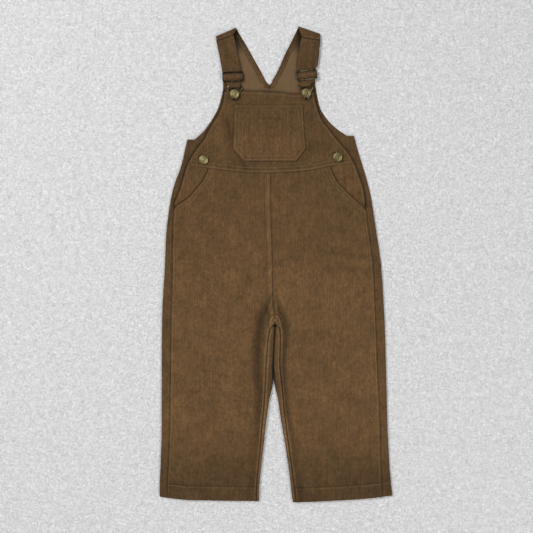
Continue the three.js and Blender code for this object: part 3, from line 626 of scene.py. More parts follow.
def thread(name, colour):
    material, tree, shader = new_material(name)
    flat = place(tree)
    twist = noise(tree, flat, 2600, 1.0)
    tree.links.new(tinted(tree, colour, ranged(tree, twist, 0.8, 1.2)), shader.inputs["Base Color"])
    bumped(tree, shader, twist, 0.5, 0.08)
    set_even(shader, {"Roughness": 0.6, "Sheen Weight": 0.15})
    return material


def metal(name, colour, dark, roughness, wear):
    """Plated metal with darker patina in patches and fine scratches. The piece's tone darkens it further:
    patina in a button's hollows, painted shade on slider rails and buckle wires.
    """
    material, tree, shader = new_material(name)
    flat = place(tree)
    patina = noise(tree, flat, 260, 4.0, 0.6)
    scratch = noise(tree, place(tree, 30, (1, 0.05, 1)), 3000, 2.0)
    mask = node(tree, "MapRange", {
        "Value": patina, "From Min": wear, "From Max": wear + 0.16}).outputs["Result"]
    mask = maths(tree, "MULTIPLY", mask, tone_attribute(tree))
    tree.links.new(mixed(tree, mask, (*dark, 1), (*colour, 1)), shader.inputs["Base Color"])
    rough = maths(tree, "MULTIPLY_ADD", scratch, 0.2, roughness - 0.1)
    tree.links.new(maths(tree, "MULTIPLY_ADD", patina, -0.15, rough), shader.inputs["Roughness"])
    bumped(tree, shader, scratch, 0.15, 0.05)
    set_even(shader, {"Metallic": 1.0})
    return material


def cord_per_side(name, angles, bright=1.0, streaks=0.12):
    return {side: corduroy(f"{name}_{side}", angle, bright, streaks) for side, angle in angles.items()}


CORD = corduroy("corduroy")
CORD_SIDE = cord_per_side("corduroy", {side.name: side.grain for side in SIDES})
CORD_STRAP = cord_per_side("corduroy_strap", {"left": -9.5, "right": 5.0}, 0.92, 0.24)
CORD_BORDER = cord_per_side("corduroy_border", {"left": 38.0, "right": -24.0}, 0.9, 0.24)
CORD_POCKET = corduroy("corduroy_pocket", 0.6, 1.0, 0.22)
COTTON = woven("cotton_lining", (0.145, 0.086, 0.0400))
THREAD = thread("sewing_thread", (0.215, 0.135, 0.066))
BRASS = metal("aged_brass", (0.25, 0.210, 0.095), (0.150, 0.124, 0.055), 0.50, 0.29)
WIRE = metal("aged_wire", (0.34, 0.28, 0.155), (0.045, 0.038, 0.024), 0.48, 0.43)
# One plating for both sliders: a darker copy as painted shade on the left slider, and a lighter copy as painted
# highlight on the right one.
SLIDER_METAL = {
    "left": metal("slider_plating_shaded", (0.14, 0.115, 0.07), (0.022, 0.019, 0.014), 0.45, 0.46),
    "right": metal("slider_plating_lit", (0.32, 0.275, 0.17), (0.03, 0.026, 0.018), 0.45, 0.38),
}


LEAST_CUT = 0.0101


def finish_piece(piece, slot, *nodes):
    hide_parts(*nodes)
    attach(piece, "root")
    return piece


def finish_cloth(piece, grid, nodes, slot="corduroy", extras=()):
    finish_piece(piece, slot, *nodes)
    for extra in extras:
        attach(extra, "root")
    width, length, area = cut_of(grid)
    width = max(width, LEAST_CUT)


# Sewing lines: grooves pulled into the upper face, with a soft ridge of seam allowance between two rows

def sewn_relief(x, y, rows, depth=0.32, half=0.75):
    relief = np.zeros(x.shape)
    for path in rows:
        distance = distance_to_path(x, y, path)
        relief -= depth * bell(distance, half)
        relief += 0.10 * bell(distance, 4.0) * np.sin(x * 0.9 + y * 0.83)
    return relief


def ridge(x, y, path, half, height):
    return height * near(x, y, path, half)


def seam_shade_and_highlight(x, y, path, inward, dark=0.5, light=0.25, half=0.9):
    """A seam from above: a dark line of painted shade where the cloth turns under, and a painted highlight,
    partly rubbed wear, on the ridge beside it.
    """
    crease = near(x, y, path, half)
    worn_and_lit = near(x, y, shifted(path, inward), half)
    return (1 - dark * crease) * (1 + light * worn_and_lit)


def shadow(x, y, path, depth, reach):
    """Dark cloth beside an edge that lies over it."""
    return 1 - depth * near(x, y, path, reach)


# Painted light and shade: lighter on the ridges of the folds and creases, darker in their troughs.
def fold_shade_and_highlight(x, y):
    return 1 + 0.14 * np.clip(fold_rise(FOLDS + CREASES, x, y), -1.2, 0.9)


def leg_tone(x, y):
    tone = 0.96 + 0.15 * smooth(60, -60, y) - 0.43 * smooth(-225, -325, y)
    return tone - 0.05 * smooth(60, 140, y)


ARCH = {
    "left": [(-7.6, -91.5), (-8.4, -83.2), (-6.2, -78.6), (-2.6, -76.4)],
    "right": [(-1.4, -76.0), (2.5, -76.4), (5.4, -80.6), (6.7, -85.6), (7.5, -91.5)],
}
KNOB = (-0.7, -81.0)


def front_leg(side):
    inner_offsets = np.concatenate([np.arange(0, 12, 0.8), np.arange(12, 46, 1.7)])
    outer_insets = np.concatenate([np.arange(26, 10, -1.6), np.arange(10, 0, -0.8), [0.0]])
    middle_share = np.linspace(0, 1, 26)[1:-1]
    row_y = spaced(HEM_Y, WAIST_Y, 2.2, stops=(HEM_Y, HEM_Y + HEM_DEPTH, CROTCH_Y, WAIST_Y), fine=0.9, band=9)
    inner = inner_seam(side, row_y)[:, None]
    outer = outer_seam(side, row_y)[:, None]
    width = outer - inner
    start, end = inner_offsets[-1], width - outer_insets[0]
    offsets = np.concatenate([
        np.broadcast_to(inner_offsets, (len(row_y), len(inner_offsets))),
        lerp(start, end, middle_share[None, :]), width - outer_insets[None, :]], axis=1)
    share = offsets / width
    x = side.sign * (inner + offsets)
    y = bent_y(side, x, np.broadcast_to(row_y[:, None], x.shape))
    high = row_y > WAIST_BLEND_Y
    up = ((row_y - WAIST_BLEND_Y) / (WAIST_Y - WAIST_BLEND_Y))[:, None]
    bent = lerp(WAIST_BLEND_Y, waist_seam(x) - HALF_SEAM, up)
    y = np.where(high[:, None], bent, y)
    x = np.where(high[:, None], side.sign * lerp(inner_seam(side, y), outer_seam(side, y), share), x)

    sign = side.sign
    y_cf = np.linspace(CROTCH_Y + 1, 130, 90)
    centre = paired(sign * inner_seam(side, y_cf), y_cf)
    y_in = np.linspace(HEM_Y + 1, INSEAM_TOP_Y, 110)
    inseam = paired(sign * inner_seam(side, y_in), y_in)
    y_out = np.linspace(HEM_Y + 1, SEAM_TOP_Y, 160)
    outseam = paired(sign * outer_seam(side, y_out), y_out)
    y_op = np.linspace(SEAM_TOP_Y + 2, 141, 60)
    mouth = paired(sign * side.opening(y_op), y_op)
    x_hem = sign * np.linspace(inner_seam(side, HEM_Y) + 0.5, outer_seam(side, HEM_Y) - 0.5, 60)
    hem = paired(x_hem, side.hem(sign * x_hem) + HEM_DEPTH)

    arch = np.array(ARCH[side.name])
    rows = [arch, shifted(inseam, -sign * 1.6), shifted(outseam, sign * 1.8), shifted(mouth, sign * 1.5),
            shifted(mouth, sign * 6.5), hem]
    if side is LEFT:
        rows += [shifted(centre, 1.5), shifted(centre, 7.0)]
    relief = sewn_relief(x, y, rows)
    if side is LEFT:
        relief += ridge(x, y, shifted(centre, 4.2), 2.6, 0.35)
    relief += ridge(x, y, shifted(mouth, sign * 4.0), 2.6, 0.35)
    relief += ridge(x, y, inseam, 2.2, 0.30) + ridge(x, y, outseam, 1.6, 0.25)
    relief += 0.35 * smooth(HEM_Y + HEM_DEPTH + 1, HEM_Y + HEM_DEPTH - 1, y)
    knob_distance = np.hypot(x - KNOB[0], y - KNOB[1])
    knob = bell(knob_distance, 2.2)
    relief += 0.5 * knob

    # Painted light and shade: lighter on fold ridges, on the ridges of the crotch creases and on the knob,
    # darker in fold troughs and creases, and a painted shadow ring round the knob.
    tone = leg_tone(x, y) * fold_shade_and_highlight(x, y) * (1 + 0.75 * knob)
    tone *= (1 + 0.75 * fold_rise(CROTCH_CREASES, x, y))
    tone *= (1 - 0.35 * bell(knob_distance - 3.6, 0.9))
    # Painted shade in the trough beside the inner roll.
    distance = sign * x - side.inner(np.minimum(y, CROTCH_Y))
    strength = (1 - smooth(-85, -40, y)) * (1 - 0.6 * smooth(-180, -290, y))
    tone *= (1 - 0.52 * strength * bell(distance - side.trough(y), side.trough_half))
    # Painted shade in each seam's crease, and a painted highlight, partly rubbed wear, on the ridge beside it.
    for seam, inward, dark, light in ((inseam, -2.0, 0.60, 0.65), (outseam, 1.9, 0.50, 0.22),
            (mouth, 1.6, 0.55, 0.22)):
        tone *= seam_shade_and_highlight(x, y, seam, sign * inward, dark, light)
    # A lighter line along the stitched arch, with painted shade beside it.
    tone *= (1 + 0.72 * near(x, y, arch, 1.0))
    tone *= (1 - 0.45 * near(x, y, shifted(arch, 2.2), 1.4))
    x_waist = np.linspace(-126, 114, 80)
    waist = paired(x_waist, waist_seam(x_waist))
    tone *= shadow(x, y, waist, 0.4, 1.1) * lerp(shadow(x, y, centre, 0.40, 0.9), 1, knob)
    tone *= (1 + 0.40 * near(x, y, hem, 1.0))
    tone *= shadow(x, y, shifted(hem, sign * 1.9), 0.32, 1.1)
    if side is LEFT:
        # Painted highlight on the raised band beside the centre-front seam, and painted shade beyond it.
        tone *= (1 + 0.36 * near(x, y, shifted(centre, 3.9), 2.2))
        tone *= shadow(x, y, shifted(centre, 7.4), 0.24, 1.0)
    grid = np.stack([x, y, leg_level(side, x, y)], axis=-1)
    thickness = lerp(2.0, WALL, smooth(HEM_Y + HEM_DEPTH - 1, HEM_Y + HEM_DEPTH + 1, y))
    piece = cloth(f"cloth_front_leg_{side.name}", grid, thickness, CORD_SIDE[side.name], tone, relief)

    def face(px, py):
        return leg_level(side, px, py) + WALL / 2 - STITCH_SINK

    seams = stitch_mesh(f"stitches_front_leg_{side.name}", rows, THREAD, face)
    finish_cloth(piece, grid, [f"front_leg_{side.name}"], extras=[seams])


FACING_UNDERLAP = 5.0
FACING_TIP_Y, FACING_TIP_TOP_Y, FACING_TIP_INSET = 81.0, 85.0, 1.4


def pocket_facing(side):
    row_y = np.concatenate([[FACING_TIP_Y, 82.4, 83.6, 84.6], spaced(OPENING_Y + 2, WAIST_Y, 1.6)])
    share = np.linspace(0, 1, 30)[None, :]
    tip_inset = np.where(row_y < FACING_TIP_TOP_Y, FACING_TIP_INSET, 0)[:, None]

    def x_at(y):
        return side.sign * lerp(side.opening(y) - FACING_UNDERLAP, side.edge(y) - tip_inset, share)

    y = np.broadcast_to(row_y[:, None], (len(row_y), share.shape[1]))
    up = ((row_y - WAIST_BLEND_Y) / (WAIST_Y - WAIST_BLEND_Y))[:, None]
    y = np.where(row_y[:, None] > WAIST_BLEND_Y, lerp(WAIST_BLEND_Y, waist_seam(x_at(y)) - HALF_SEAM, up), y)
    x = x_at(y)
    y_edge = np.linspace(OPENING_Y + 3, 144, 50)
    edge = paired(side.sign * side.edge(y_edge), y_edge)
    rows = [shifted(edge, side.sign * 1.8)]
    relief = sewn_relief(x, y, rows) + ridge(x, y, edge, 1.6, 0.25)
    grid = np.stack([x, y, FRONT + 0 * x], axis=-1)
    y_mouth = np.linspace(SEAM_TOP_Y + 2, 143, 60)
    mouth = paired(side.sign * side.opening(y_mouth), y_mouth)
    # Painted shade in the edge seam's crease with a painted highlight, partly rubbed wear, beside it, and a
    # painted shadow along the pocket mouth.
    tone = 0.92 * seam_shade_and_highlight(x, y, edge, side.sign * 1.9, 0.35, 0.22) * shadow(x, y, mouth, 0.5, 1.8)
    piece = cloth(f"cloth_pocket_facing_{side.name}", grid, WALL, CORD_POCKET, tone, relief)
    seams = stitch_mesh(f"stitches_pocket_facing_{side.name}", rows, THREAD,
                        level_of(FRONT + WALL / 2 - STITCH_SINK))
    finish_cloth(piece, grid, [f"pocket_facing_{side.name}"], extras=[seams])


# Trouser back: flat on the floor, turned up round both edges of the leg
TURN_STEPS = 12


def half_turn(centre, low, high, outward):
    angle = np.linspace(0, math.pi, TURN_STEPS + 1)
    radius = (high - low) / 2
    return paired(centre + outward * radius * np.sin(angle), (low + high) / 2 + radius * np.cos(angle))


def side_underlap(side, y):
    return smooth(OPENING_Y, 96, y) * lerp(15, 5, smooth(96, side.waist_y, y))


TOUCH_END_Y, OPEN_Y = -158.0, -200.0


def foot_spread(y, radius):
    """Below the crotch both legs spread at the floor until they nearly touch."""
    room = float(LEFT.inner(y) + RIGHT.inner(y)) / 2 - HALF_SEAM
    reach = max(room, 0) * (1 - float(smooth(TOUCH_END_Y, OPEN_Y, y)))
    return reach * (2 * radius + reach) / (radius + reach)


def back_section(side, y):
    over_flap = y > SEAM_TOP_Y
    level = UNDERLAP if over_flap else FRONT
    outer_turn = half_turn(side.outer(y) - (level - BACK) / 2 - WALL / 2, BACK, level, 1)
    end = side.edge(y) - side_underlap(side, y) if over_flap else side.edge(y) + HALF_SEAM
    end = min(float(end), outer_turn[0, 0] - 0.4)
    outer_return = np.linspace([end, level], outer_turn[0], 12)[:-1]
    inner_count = TURN_STEPS + 1 + 7
    if y < CROTCH_Y:
        inner = float(side.inner(y))
        top = FRONT + float(inner_roll(side, side.sign * inner, y))
        radius = (top - BACK) / 2
        turn = half_turn(inner + radius + WALL / 2, BACK, top, -1)[::-1]
        turn[:, 0] -= foot_spread(y, radius + WALL / 2) * (top - turn[:, 1]) / (top - BACK)
        seam = inner + float(side.inset(y)) - HALF_SEAM
        seam_level = float(leg_level(side, np.array(side.sign * seam), np.array(y), 0.0))
        inner_part = np.concatenate([turn, np.linspace(turn[-1], [seam, seam_level], 8)[1:]])
    else:
        middle = CENTRE_BACK_X if y > SEAM_TOP_Y else float(centre_front(y))
        edge_x = side.sign * middle + HALF_SEAM
        inner_part = paired(np.linspace(edge_x + 7.0, edge_x, inner_count), np.full(inner_count, BACK))
    bottom = np.linspace(outer_turn[-1], inner_part[0], 34)[1:-1]
    return np.concatenate([outer_return, outer_turn, bottom, inner_part])


def closed_crotch(side, section, y):
    """Draw the turned cloth to the middle line, so that no floor shows where the four seams meet."""
    middle = side.sign * float(centre_front(CROTCH_Y)) + HALF_SEAM + WALL / 2 + 0.05
    part = section[-TURN_STEPS - 8:]
    nearest, end = part[:, 0].min(), part[-1, 0]
    if nearest > middle:
        weight = np.clip((end - part[:, 0]) / max(end - nearest, 0.1), 0, 1)
        weight = lerp(weight, 1, float(smooth(-89.5, -87.5, y)))
        part[:, 0] -= (nearest - middle) * weight * float(smooth(INSEAM_TOP_Y, INSEAM_TOP_Y + 1.5, y))
    return section


def back_row(side, y):
    """A section between the rows where the shape changes is blended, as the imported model's faces are."""
    for low, high in ((INSEAM_TOP_Y, CROTCH_Y), (SEAM_TOP_Y, UNDERLAP_Y)):
        if low < y < high:
            t = (y - low) / (high - low)
            section = lerp(back_section(side, low), back_section(side, high), t)
            return closed_crotch(side, section, y) if high == CROTCH_Y else section
    return back_section(side, y)


def back_leg(side):
    row_y = spaced(HEM_Y, side.waist_y, 2.6, stops=(HEM_Y, HEM_Y + HEM_DEPTH, CROTCH_Y, 82.0), fine=1.1, band=8)
    section = np.array([back_row(side, float(y)) for y in row_y])
    x = side.sign * section[..., 0]
    y = bent_y(side, x, np.broadcast_to(row_y[:, None], x.shape))
    z = section[..., 1]
    upper = z > BACK + 0.9
    shown = (np.arange(section.shape[1]) < 11)[None, :] & (row_y < SEAM_TOP_Y)[:, None]
    z = z + np.where(shown, ripple(x, y, 12, 24, 0.10), 0)
    grid = np.stack([x, y, z], axis=-1)

    sign = side.sign
    y_in = np.linspace(HEM_Y + 1, INSEAM_TOP_Y - 4, 110)
    inseam = paired(sign * (side.inner(y_in) + side.inset(y_in) - 1.9), y_in)
    x_hem = sign * np.linspace(side.edge(HEM_Y) + 1.0, side.outer(HEM_Y) - 2.2, 12)
    hem = paired(x_hem, side.hem(sign * x_hem) + HEM_DEPTH)
    rows = [inseam, hem]
    relief = np.where(upper, sewn_relief(x, y, rows), 0)
    relief = relief + np.where(upper, 0.25 * smooth(HEM_Y + HEM_DEPTH + 1, HEM_Y + HEM_DEPTH - 1, y), 0)
    path = paired(sign * (side.inner(y_in) + side.inset(y_in)), y_in)
    y_out = np.linspace(HEM_Y, 186, 240)
    edge = paired(sign * side.edge(y_out), y_out)
    under_flap = smooth(SEAM_TOP_Y, UNDERLAP_Y, y)
    tone = lerp(side.strip_tone, 0.94, smooth(-170, -300, y)) * leg_tone(x, y)
    edge_shade = near(x, y, edge, lerp(0.9, 2.6, under_flap))
    tone *= (1 - lerp(0.5, 0.72, under_flap) * edge_shade)
    # Painted shade in the inseam's crease, and a painted highlight, partly rubbed wear, on the ridge beside it.
    tone *= np.where(upper, seam_shade_and_highlight(x, y, path, sign * 2.0, 0.55, 0.85, 1.1), 1)
    # Painted shade in the slit between the legs: darker the lower the cloth lies, and fading out towards the
    # hems.
    depth = 1 - smooth(0.62, 0.98, (z - BACK) / (FRONT + 1 - BACK))
    in_slit = (np.arange(x.shape[1]) >= x.shape[1] - TURN_STEPS - 8)[None, :] & (y < CROTCH_Y + 4)
    tone *= np.where(in_slit, 1 - 0.985 * depth * smooth(-204, -150, y), 1)
    piece = cloth(f"cloth_back_leg_{side.name}", grid, WALL, CORD_SIDE[side.name], tone, relief)

    def face(px, py):
        return leg_level(side, px, py, 0.0) + WALL / 2 - STITCH_SINK

    seams = stitch_mesh(f"stitches_back_leg_{side.name}", rows, THREAD, face)
    finish_cloth(piece, grid, [f"back_leg_{side.name}"], extras=[seams])


BIB_CREASE = [(-71, 211), (-66.6, 191), (-57.3, 163), (-48, 146.5), (-45.2, 138.5)]
CREASE_SPECKS = [(-45.4, 140.5), (-43.2, 137.6)]


def front_bib():
    u = spaced(0, 240, 2.0, stops=(0, 240), fine=0.8, band=10) / 240
    v = spaced(0, 104, 1.9, stops=(0, 104), fine=0.8, band=9) / 104
    u, v = u[None, :], v[:, None]

    def x_at(y):
        return lerp(-LEFT.edge(y), RIGHT.edge(y), u)

    low = waist_seam(x_at(np.full((1, 1), 146.0))) + HALF_SEAM
    high = bib_top(x_at(np.full((1, 1), 250.0)))
    y = lerp(low, high, v)
    x = x_at(y)
    grid = np.stack([x, y, bib_level(x, y)], axis=-1)

    y_edge = np.linspace(148, 248, 90)
    left_edge = paired(-LEFT.edge(y_edge), y_edge)
    right_edge = paired(RIGHT.edge(y_edge), y_edge)
    x_top = np.linspace(-72, 53, 70)
    top = paired(x_top, bib_top(x_top))
    x_low = np.linspace(-124, 110, 110)
    waist = paired(x_low, waist_seam(x_low))
    rows = [shifted(left_edge, -2.0), shifted(right_edge, 2.0), shifted(top, -3.4), shifted(waist, 1.6),
            shifted(waist, 6.8)]
    relief = sewn_relief(x, y, rows)
    relief += ridge(x, y, shifted(top, -1.6), 1.4, 0.3) + ridge(x, y, shifted(waist, 4.2), 2.6, 0.3)
    relief += ridge(x, y, left_edge, 1.6, 0.3) + ridge(x, y, right_edge, 1.6, 0.3)
    # Painted light and shade: lighter on fold ridges and darker in troughs, painted shade in the seams' creases
    # with painted highlights, partly rubbed wear, on the ridges beside them, and painted shade and highlight
    # along the upper waist stitching row.
    tone = 0.82 * fold_shade_and_highlight(x, y) * seam_shade_and_highlight(x, y, top, -1.8, 0.2, 0.22, 1.1)
    tone *= seam_shade_and_highlight(x, y, left_edge, -2.4, 0.3, 0.2) * seam_shade_and_highlight(x, y, right_edge, 2.4, 0.3, 0.2)
    tone *= seam_shade_and_highlight(x, y, waist, 1.8, 0.35, 0.42, 1.1) * shadow(x, y, shifted(waist, 6.0), 0.15, 1.0)
    tone *= (1 + 0.18 * near(x, y, shifted(waist, 7.2), 0.9))
    tone *= shadow(x, y, np.array(BIB_CREASE), 0.28, 2.2)
    for px, py in CREASE_SPECKS:
        tone *= (1 - 0.4 * bell(np.hypot(x - px, y - py), 1.6))
    # Painted shadows of the buttons on the bib, cast a little below them.
    for side in SIDES:
        low_x, low_y = side.side_button
        for px, py, depth in ((side.button.x, side.button.y - 1.5, 0.55), (low_x, low_y - 1.0, 0.45)):
            tone *= (1 - depth * bell(np.hypot(x - side.sign * px, y - py), BUTTON_RADIUS))
    left_side = [(left, row) for row, left, _ in BIB_POCKET[::-1]]
    right_side = [(right, row) for row, _, right in BIB_POCKET]
    tone *= shadow(x, y, np.array(left_side + right_side), 0.28, 1.4)
    piece = cloth("cloth_front_bib", grid, WALL, CORD, tone, relief)
    seams = stitch_mesh("stitches_front_bib", rows, THREAD,
                        lambda px, py: bib_level(px, py) + WALL / 2 - STITCH_SINK)
    finish_cloth(piece, grid, ["front_bib"], extras=[seams])


BIB_POCKET = [(149.2, -45.6, 29.8), (158, -53.4, 36.4), (166.4, -60.8, 43.0), (187, -60.2, 41.0),
              (208, -59.6, 39.8), (229.6, -58.9, 38.6)]
POCKET_LEVEL = FRONT + WALL + SEAM_GAP


def pressed_mark(x, y):
    """A faint raised oblong, as a turned edge below the pocket leaves when it is pressed."""
    return smooth(-39, -36, x) * (1 - smooth(8, 11, x)) * smooth(184, 187, y) * (1 - smooth(208, 211, y))


def pocket_level(x, y):
    u = np.clip((x + 60) / 102, 0, 1)
    v = np.clip((y - 149.6) / 80, 0, 1)
    swell = 0.5 * np.sin(math.pi * u) * np.sin(math.pi * v)
    return POCKET_LEVEL + swell + 0.30 * pressed_mark(x, y) + ripple(x, y, 21, 30, 0.10)


def bib_pocket():
    rows_y, left, right = np.array(BIB_POCKET).T
    row_y = spaced(rows_y[0], rows_y[-1], 1.6, stops=(rows_y[0], rows_y[-1]), fine=0.7, band=10)
    u = spaced(0, 100, 1.8, stops=(0, 100), fine=0.7, band=9)[None, :] / 100
    left_x = np.interp(row_y, rows_y, left)[:, None]
    right_x = np.interp(row_y, rows_y, right)[:, None]
    x = lerp(left_x, right_x, u)
    y = np.broadcast_to(row_y[:, None], x.shape)
    grid = np.stack([x, y, pocket_level(x, y)], axis=-1)
    middle = np.array([(left + right).mean() / 2, 190.0])
    corners = np.concatenate([
        paired(left[::-1], rows_y[::-1]), paired(right, rows_y)])
    step = np.concatenate([[0], np.cumsum(np.hypot(*np.diff(corners, axis=0).T))])
    dense = np.linspace(0, step[-1], 160)
    outline = paired(np.interp(dense, step, corners[:, 0]), np.interp(dense, step, corners[:, 1]))

    def inset(distance):
        scale = 1 - distance / np.array([51.0, 40.0])
        return middle + (outline - middle) * scale

    top = np.array([(-58.0, 229.6), (38.4, 229.6)])
    rows = [inset(1.2), inset(6.4), top - (0, 2.0), top - (0, 8.5)]
    relief = sewn_relief(x, y, rows) + ridge(x, y, inset(3.8), 2.4, 0.25) + ridge(x, y, top - (0, 5), 3.0, 0.3)
    tone = 0.89 * (1 + 0.20 * near(x, y, inset(1.6), 0.9))
    tone *= (1 + 0.12 * near(x, y, inset(6.6), 0.9))
    tone *= shadow(x, y, inset(4.4), 0.08, 1.2) * shadow(x, y, top - (0, 8.5), 0.15, 1.0)
    # Painted shade along the sides of the pressed oblong, and a faint painted highlight on it.
    mark = pressed_mark(x, y)
    tone *= (1 - 0.20 * 4 * mark * (1 - mark) + 0.03 * mark)
    tone *= (0.96 + 0.14 * smooth(190, 180, y))
    piece = cloth("cloth_bib_pocket", grid, WALL, CORD_POCKET, tone, relief)
    seams = stitch_mesh("stitches_bib_pocket", rows, THREAD,
                        lambda px, py: pocket_level(px, py) + WALL / 2 - STITCH_SINK)
    finish_cloth(piece, grid, ["bib_pocket"], extras=[seams])


# Back bib, lining and neck border

def neck_x(side, y):
    return np.where(y <= NECK_POINT_Y - 1, side.sign * CENTRE_BACK_X + HALF_SEAM, side.neck(y))


BORDER_WIDTH, BORDER_FOOT_Y = 8.0, 255.0


def border_inner_x(side, y):
    return neck_x(side, y) + BORDER_WIDTH * smooth(BORDER_FOOT_Y - 1.0, BORDER_FOOT_Y - 0.3, y)


def side_rows(side, outer, inner, level, columns):
    u = np.linspace(0, 1, columns)[None, :]
    outer, inner = np.asarray(outer, float), np.asarray(inner, float)
    x = side.sign * lerp(outer[:, :1], inner[:, :1], u)
    y = lerp(outer[:, 1:2], inner[:, 1:2], u)
    return np.stack([x, y, np.broadcast_to(np.asarray(level, float).reshape(-1, 1), x.shape)], axis=-1)


def between(first, last, count):
    """count grid rows from first to last, without both ends."""
    t = np.linspace(0, 1, count + 2)[1:-1, None, None]
    return lerp(first[None], last[None], t)


ARMHOLE_REST_END_Y, ARMHOLE_SLOPE = 216.0, 6.0


def back_bib(side):
    row_y = spaced(side.waist_y + SEAM_GAP, 318, 2.2, stops=(side.waist_y, 261), fine=0.9, band=8)
    outer, inner = side.armhole(row_y)[:, None], neck_x(side, row_y)[:, None]
    slope_start = np.minimum(side.edge(np.minimum(row_y, NECK_POINT_Y))[:, None], outer - 1)
    slope_end = slope_start - ARMHOLE_SLOPE
    u = np.linspace(0, 1, 12)[None, :]
    x = np.concatenate([lerp(outer, slope_start, u[:, :-1]), lerp(slope_start, slope_end, u[:, :-1]),
                        lerp(slope_end, inner, np.linspace(0, 1, 20)[None, :])], axis=1)
    columns = x.shape[1]
    rise = (UNDERLAP - BACK) * (1 - smooth(side.waist_y, ARMHOLE_REST_END_Y, row_y))[:, None]
    share_down = np.clip((slope_start - x) / ARMHOLE_SLOPE, 0, 1)
    flat = np.stack([side.sign * x, row_y[:, None] + 0 * x, BACK + rise * (1 - share_down)], axis=-1)
    outer, inner = np.array(side.fold_outer), np.array(side.fold_inner)
    along = inner - outer
    up = np.array([along[1], -along[0]]) / np.hypot(*along)
    radius = (STRAP - BACK) / 2
    turns = []
    for angle in np.linspace(0, math.pi, 13):
        reach = radius * math.sin(angle) - radius - WALL / 2
        turns.append(side_rows(side, [outer + up * reach], [inner + up * reach],
                               BACK + radius - radius * math.cos(angle), columns)[0])
    seam = side_rows(side, [side.seam_outer], [side.seam_inner], STRAP, columns)[0]
    grid = np.concatenate([flat, between(flat[-1], turns[0], 4), np.array(turns), between(turns[-1], seam, 6),
                           seam[None]])
    x, y, z = grid[..., 0], grid[..., 1], grid[..., 2]
    folded = (z > BACK + 0.5) & (y > 300)
    start, end = np.array([side.sign, 1]) * side.seam_outer, np.array([side.sign, 1]) * side.seam_inner
    seam_line = np.linspace(start, end, 30)
    away = shifted(seam_line, -side.sign * 1.6)[2:-2]
    relief = np.where(folded, sewn_relief(x, y, [away]) + ridge(x, y, seam_line, 2.0, 0.25), 0)
    y_edge = np.linspace(150, 252, 90)
    flap = paired(side.sign * side.edge(y_edge), y_edge)
    tone = 0.80 * shadow(x, y, flap, 0.93, 1.6) * np.where(z < STRAP - 1.5, under_strap(side, x, y), 1)
    # Painted shade in the shoulder seam's crease, and a painted highlight, partly rubbed wear, beside it.
    tone *= np.where(folded, seam_shade_and_highlight(x, y, seam_line, -side.sign * 1.8, 0.5, 0.25), 1)
    piece = cloth(f"cloth_back_bib_{side.name}", grid, WALL, CORD_STRAP[side.name], tone, relief)
    seams = stitch_mesh(f"stitches_shoulder_{side.name}", [away], THREAD,
                        level_of(STRAP + WALL / 2 - 0.1))
    finish_cloth(piece, grid, [f"back_bib_{side.name}"], extras=[seams])


def under_strap(side, x, y):
    """Shade on what lies beside the strap's inner edge, widest and deepest in the fold of the shoulder."""
    path = np.array([side.fold_inner] + [(x_in, y_in) for _, _, x_in, y_in in side.strap]) * (side.sign, 1)
    shoulder = smooth(300, 328, y)
    return 1 - lerp(0.45, 0.90, shoulder) * near(x, y, path, lerp(3.2, 9.0, shoulder))


def back_lining(side):
    row_y = spaced(side.waist_y + 2, 324, 2.4, stops=(259,), fine=0.7, band=8)
    inset = side.armhole(row_y) - 6
    under_flap = side.edge(row_y) - lerp(8, 2, smooth(205, 240, row_y))
    outer = paired(np.where(row_y < NECK_POINT_Y, np.minimum(inset, under_flap), inset), row_y)
    inner = paired(border_inner_x(side, row_y) + HALF_SEAM, row_y)
    grid = side_rows(side, outer, inner, LINING, 32)
    x, y = grid[..., 0], grid[..., 1]
    grid[..., 2] += ripple(x, y, 31, 26, 0.12)
    relief = 0.12 * ripple(x, y, 33, 9, 1.0)
    # Painted shade in the shoulder fold under the strap and beside the strap's edge.
    tone = (1 - 0.55 * smooth(300, 320, y)) * under_strap(side, x, y)
    tone *= (1 - 0.18 * bell(x - CENTRE_BACK_X, 12) * (1 - smooth(255, 262, y)))
    x_top = np.linspace(-76, 56, 60)
    tone *= shadow(x, y, paired(x_top, bib_top(x_top) + 1.0), 0.5, 2.4)
    piece = cloth(f"cloth_back_lining_{side.name}", grid, LINING_WALL, COTTON, tone, relief)
    finish_cloth(piece, grid, [f"back_lining_{side.name}"], slot="lining")


def neck_border(side):
    row_y = spaced(BORDER_FOOT_Y, 324, 1.2)
    outer = paired(border_inner_x(side, row_y) - HALF_SEAM, row_y)
    inner = paired(neck_x(side, row_y) + 0.2, row_y)
    grid = side_rows(side, outer, inner, LINING, 12)
    x, y = grid[..., 0], grid[..., 1]
    sewn = outer[3:-2] * (side.sign, 1)
    row = shifted(sewn, side.sign * 1.3)
    relief = sewn_relief(x, y, [row], 0.25) + 0.25 * np.sin(math.pi * np.linspace(0, 1, 12))[None, :]
    # Painted shade towards the shoulder fold, beside the strap, in the seam's crease and along the border's
    # foot, and a painted highlight, partly rubbed wear, beside the seam.
    tone = 0.92 * (1 - 0.3 * smooth(304, 326, y)) * under_strap(side, x, y)
    tone *= seam_shade_and_highlight(x, y, sewn, side.sign * 1.3, 0.45, 0.15)
    tone *= (1 - 0.15 * (1 - smooth(0, 2.2, y - BORDER_FOOT_Y)))
    tone *= shadow(x, y, inner * (side.sign, 1), 0.35, 1.3)
    piece = cloth(f"cloth_neck_border_{side.name}", grid, LINING_WALL, CORD_BORDER[side.name], tone, relief)
    seams = stitch_mesh(f"stitches_neck_border_{side.name}", [row], THREAD,
                        level_of(LINING + LINING_WALL / 2 + 0.05))
    finish_cloth(piece, grid, [f"neck_border_{side.name}"], extras=[seams])


# Straps and metal

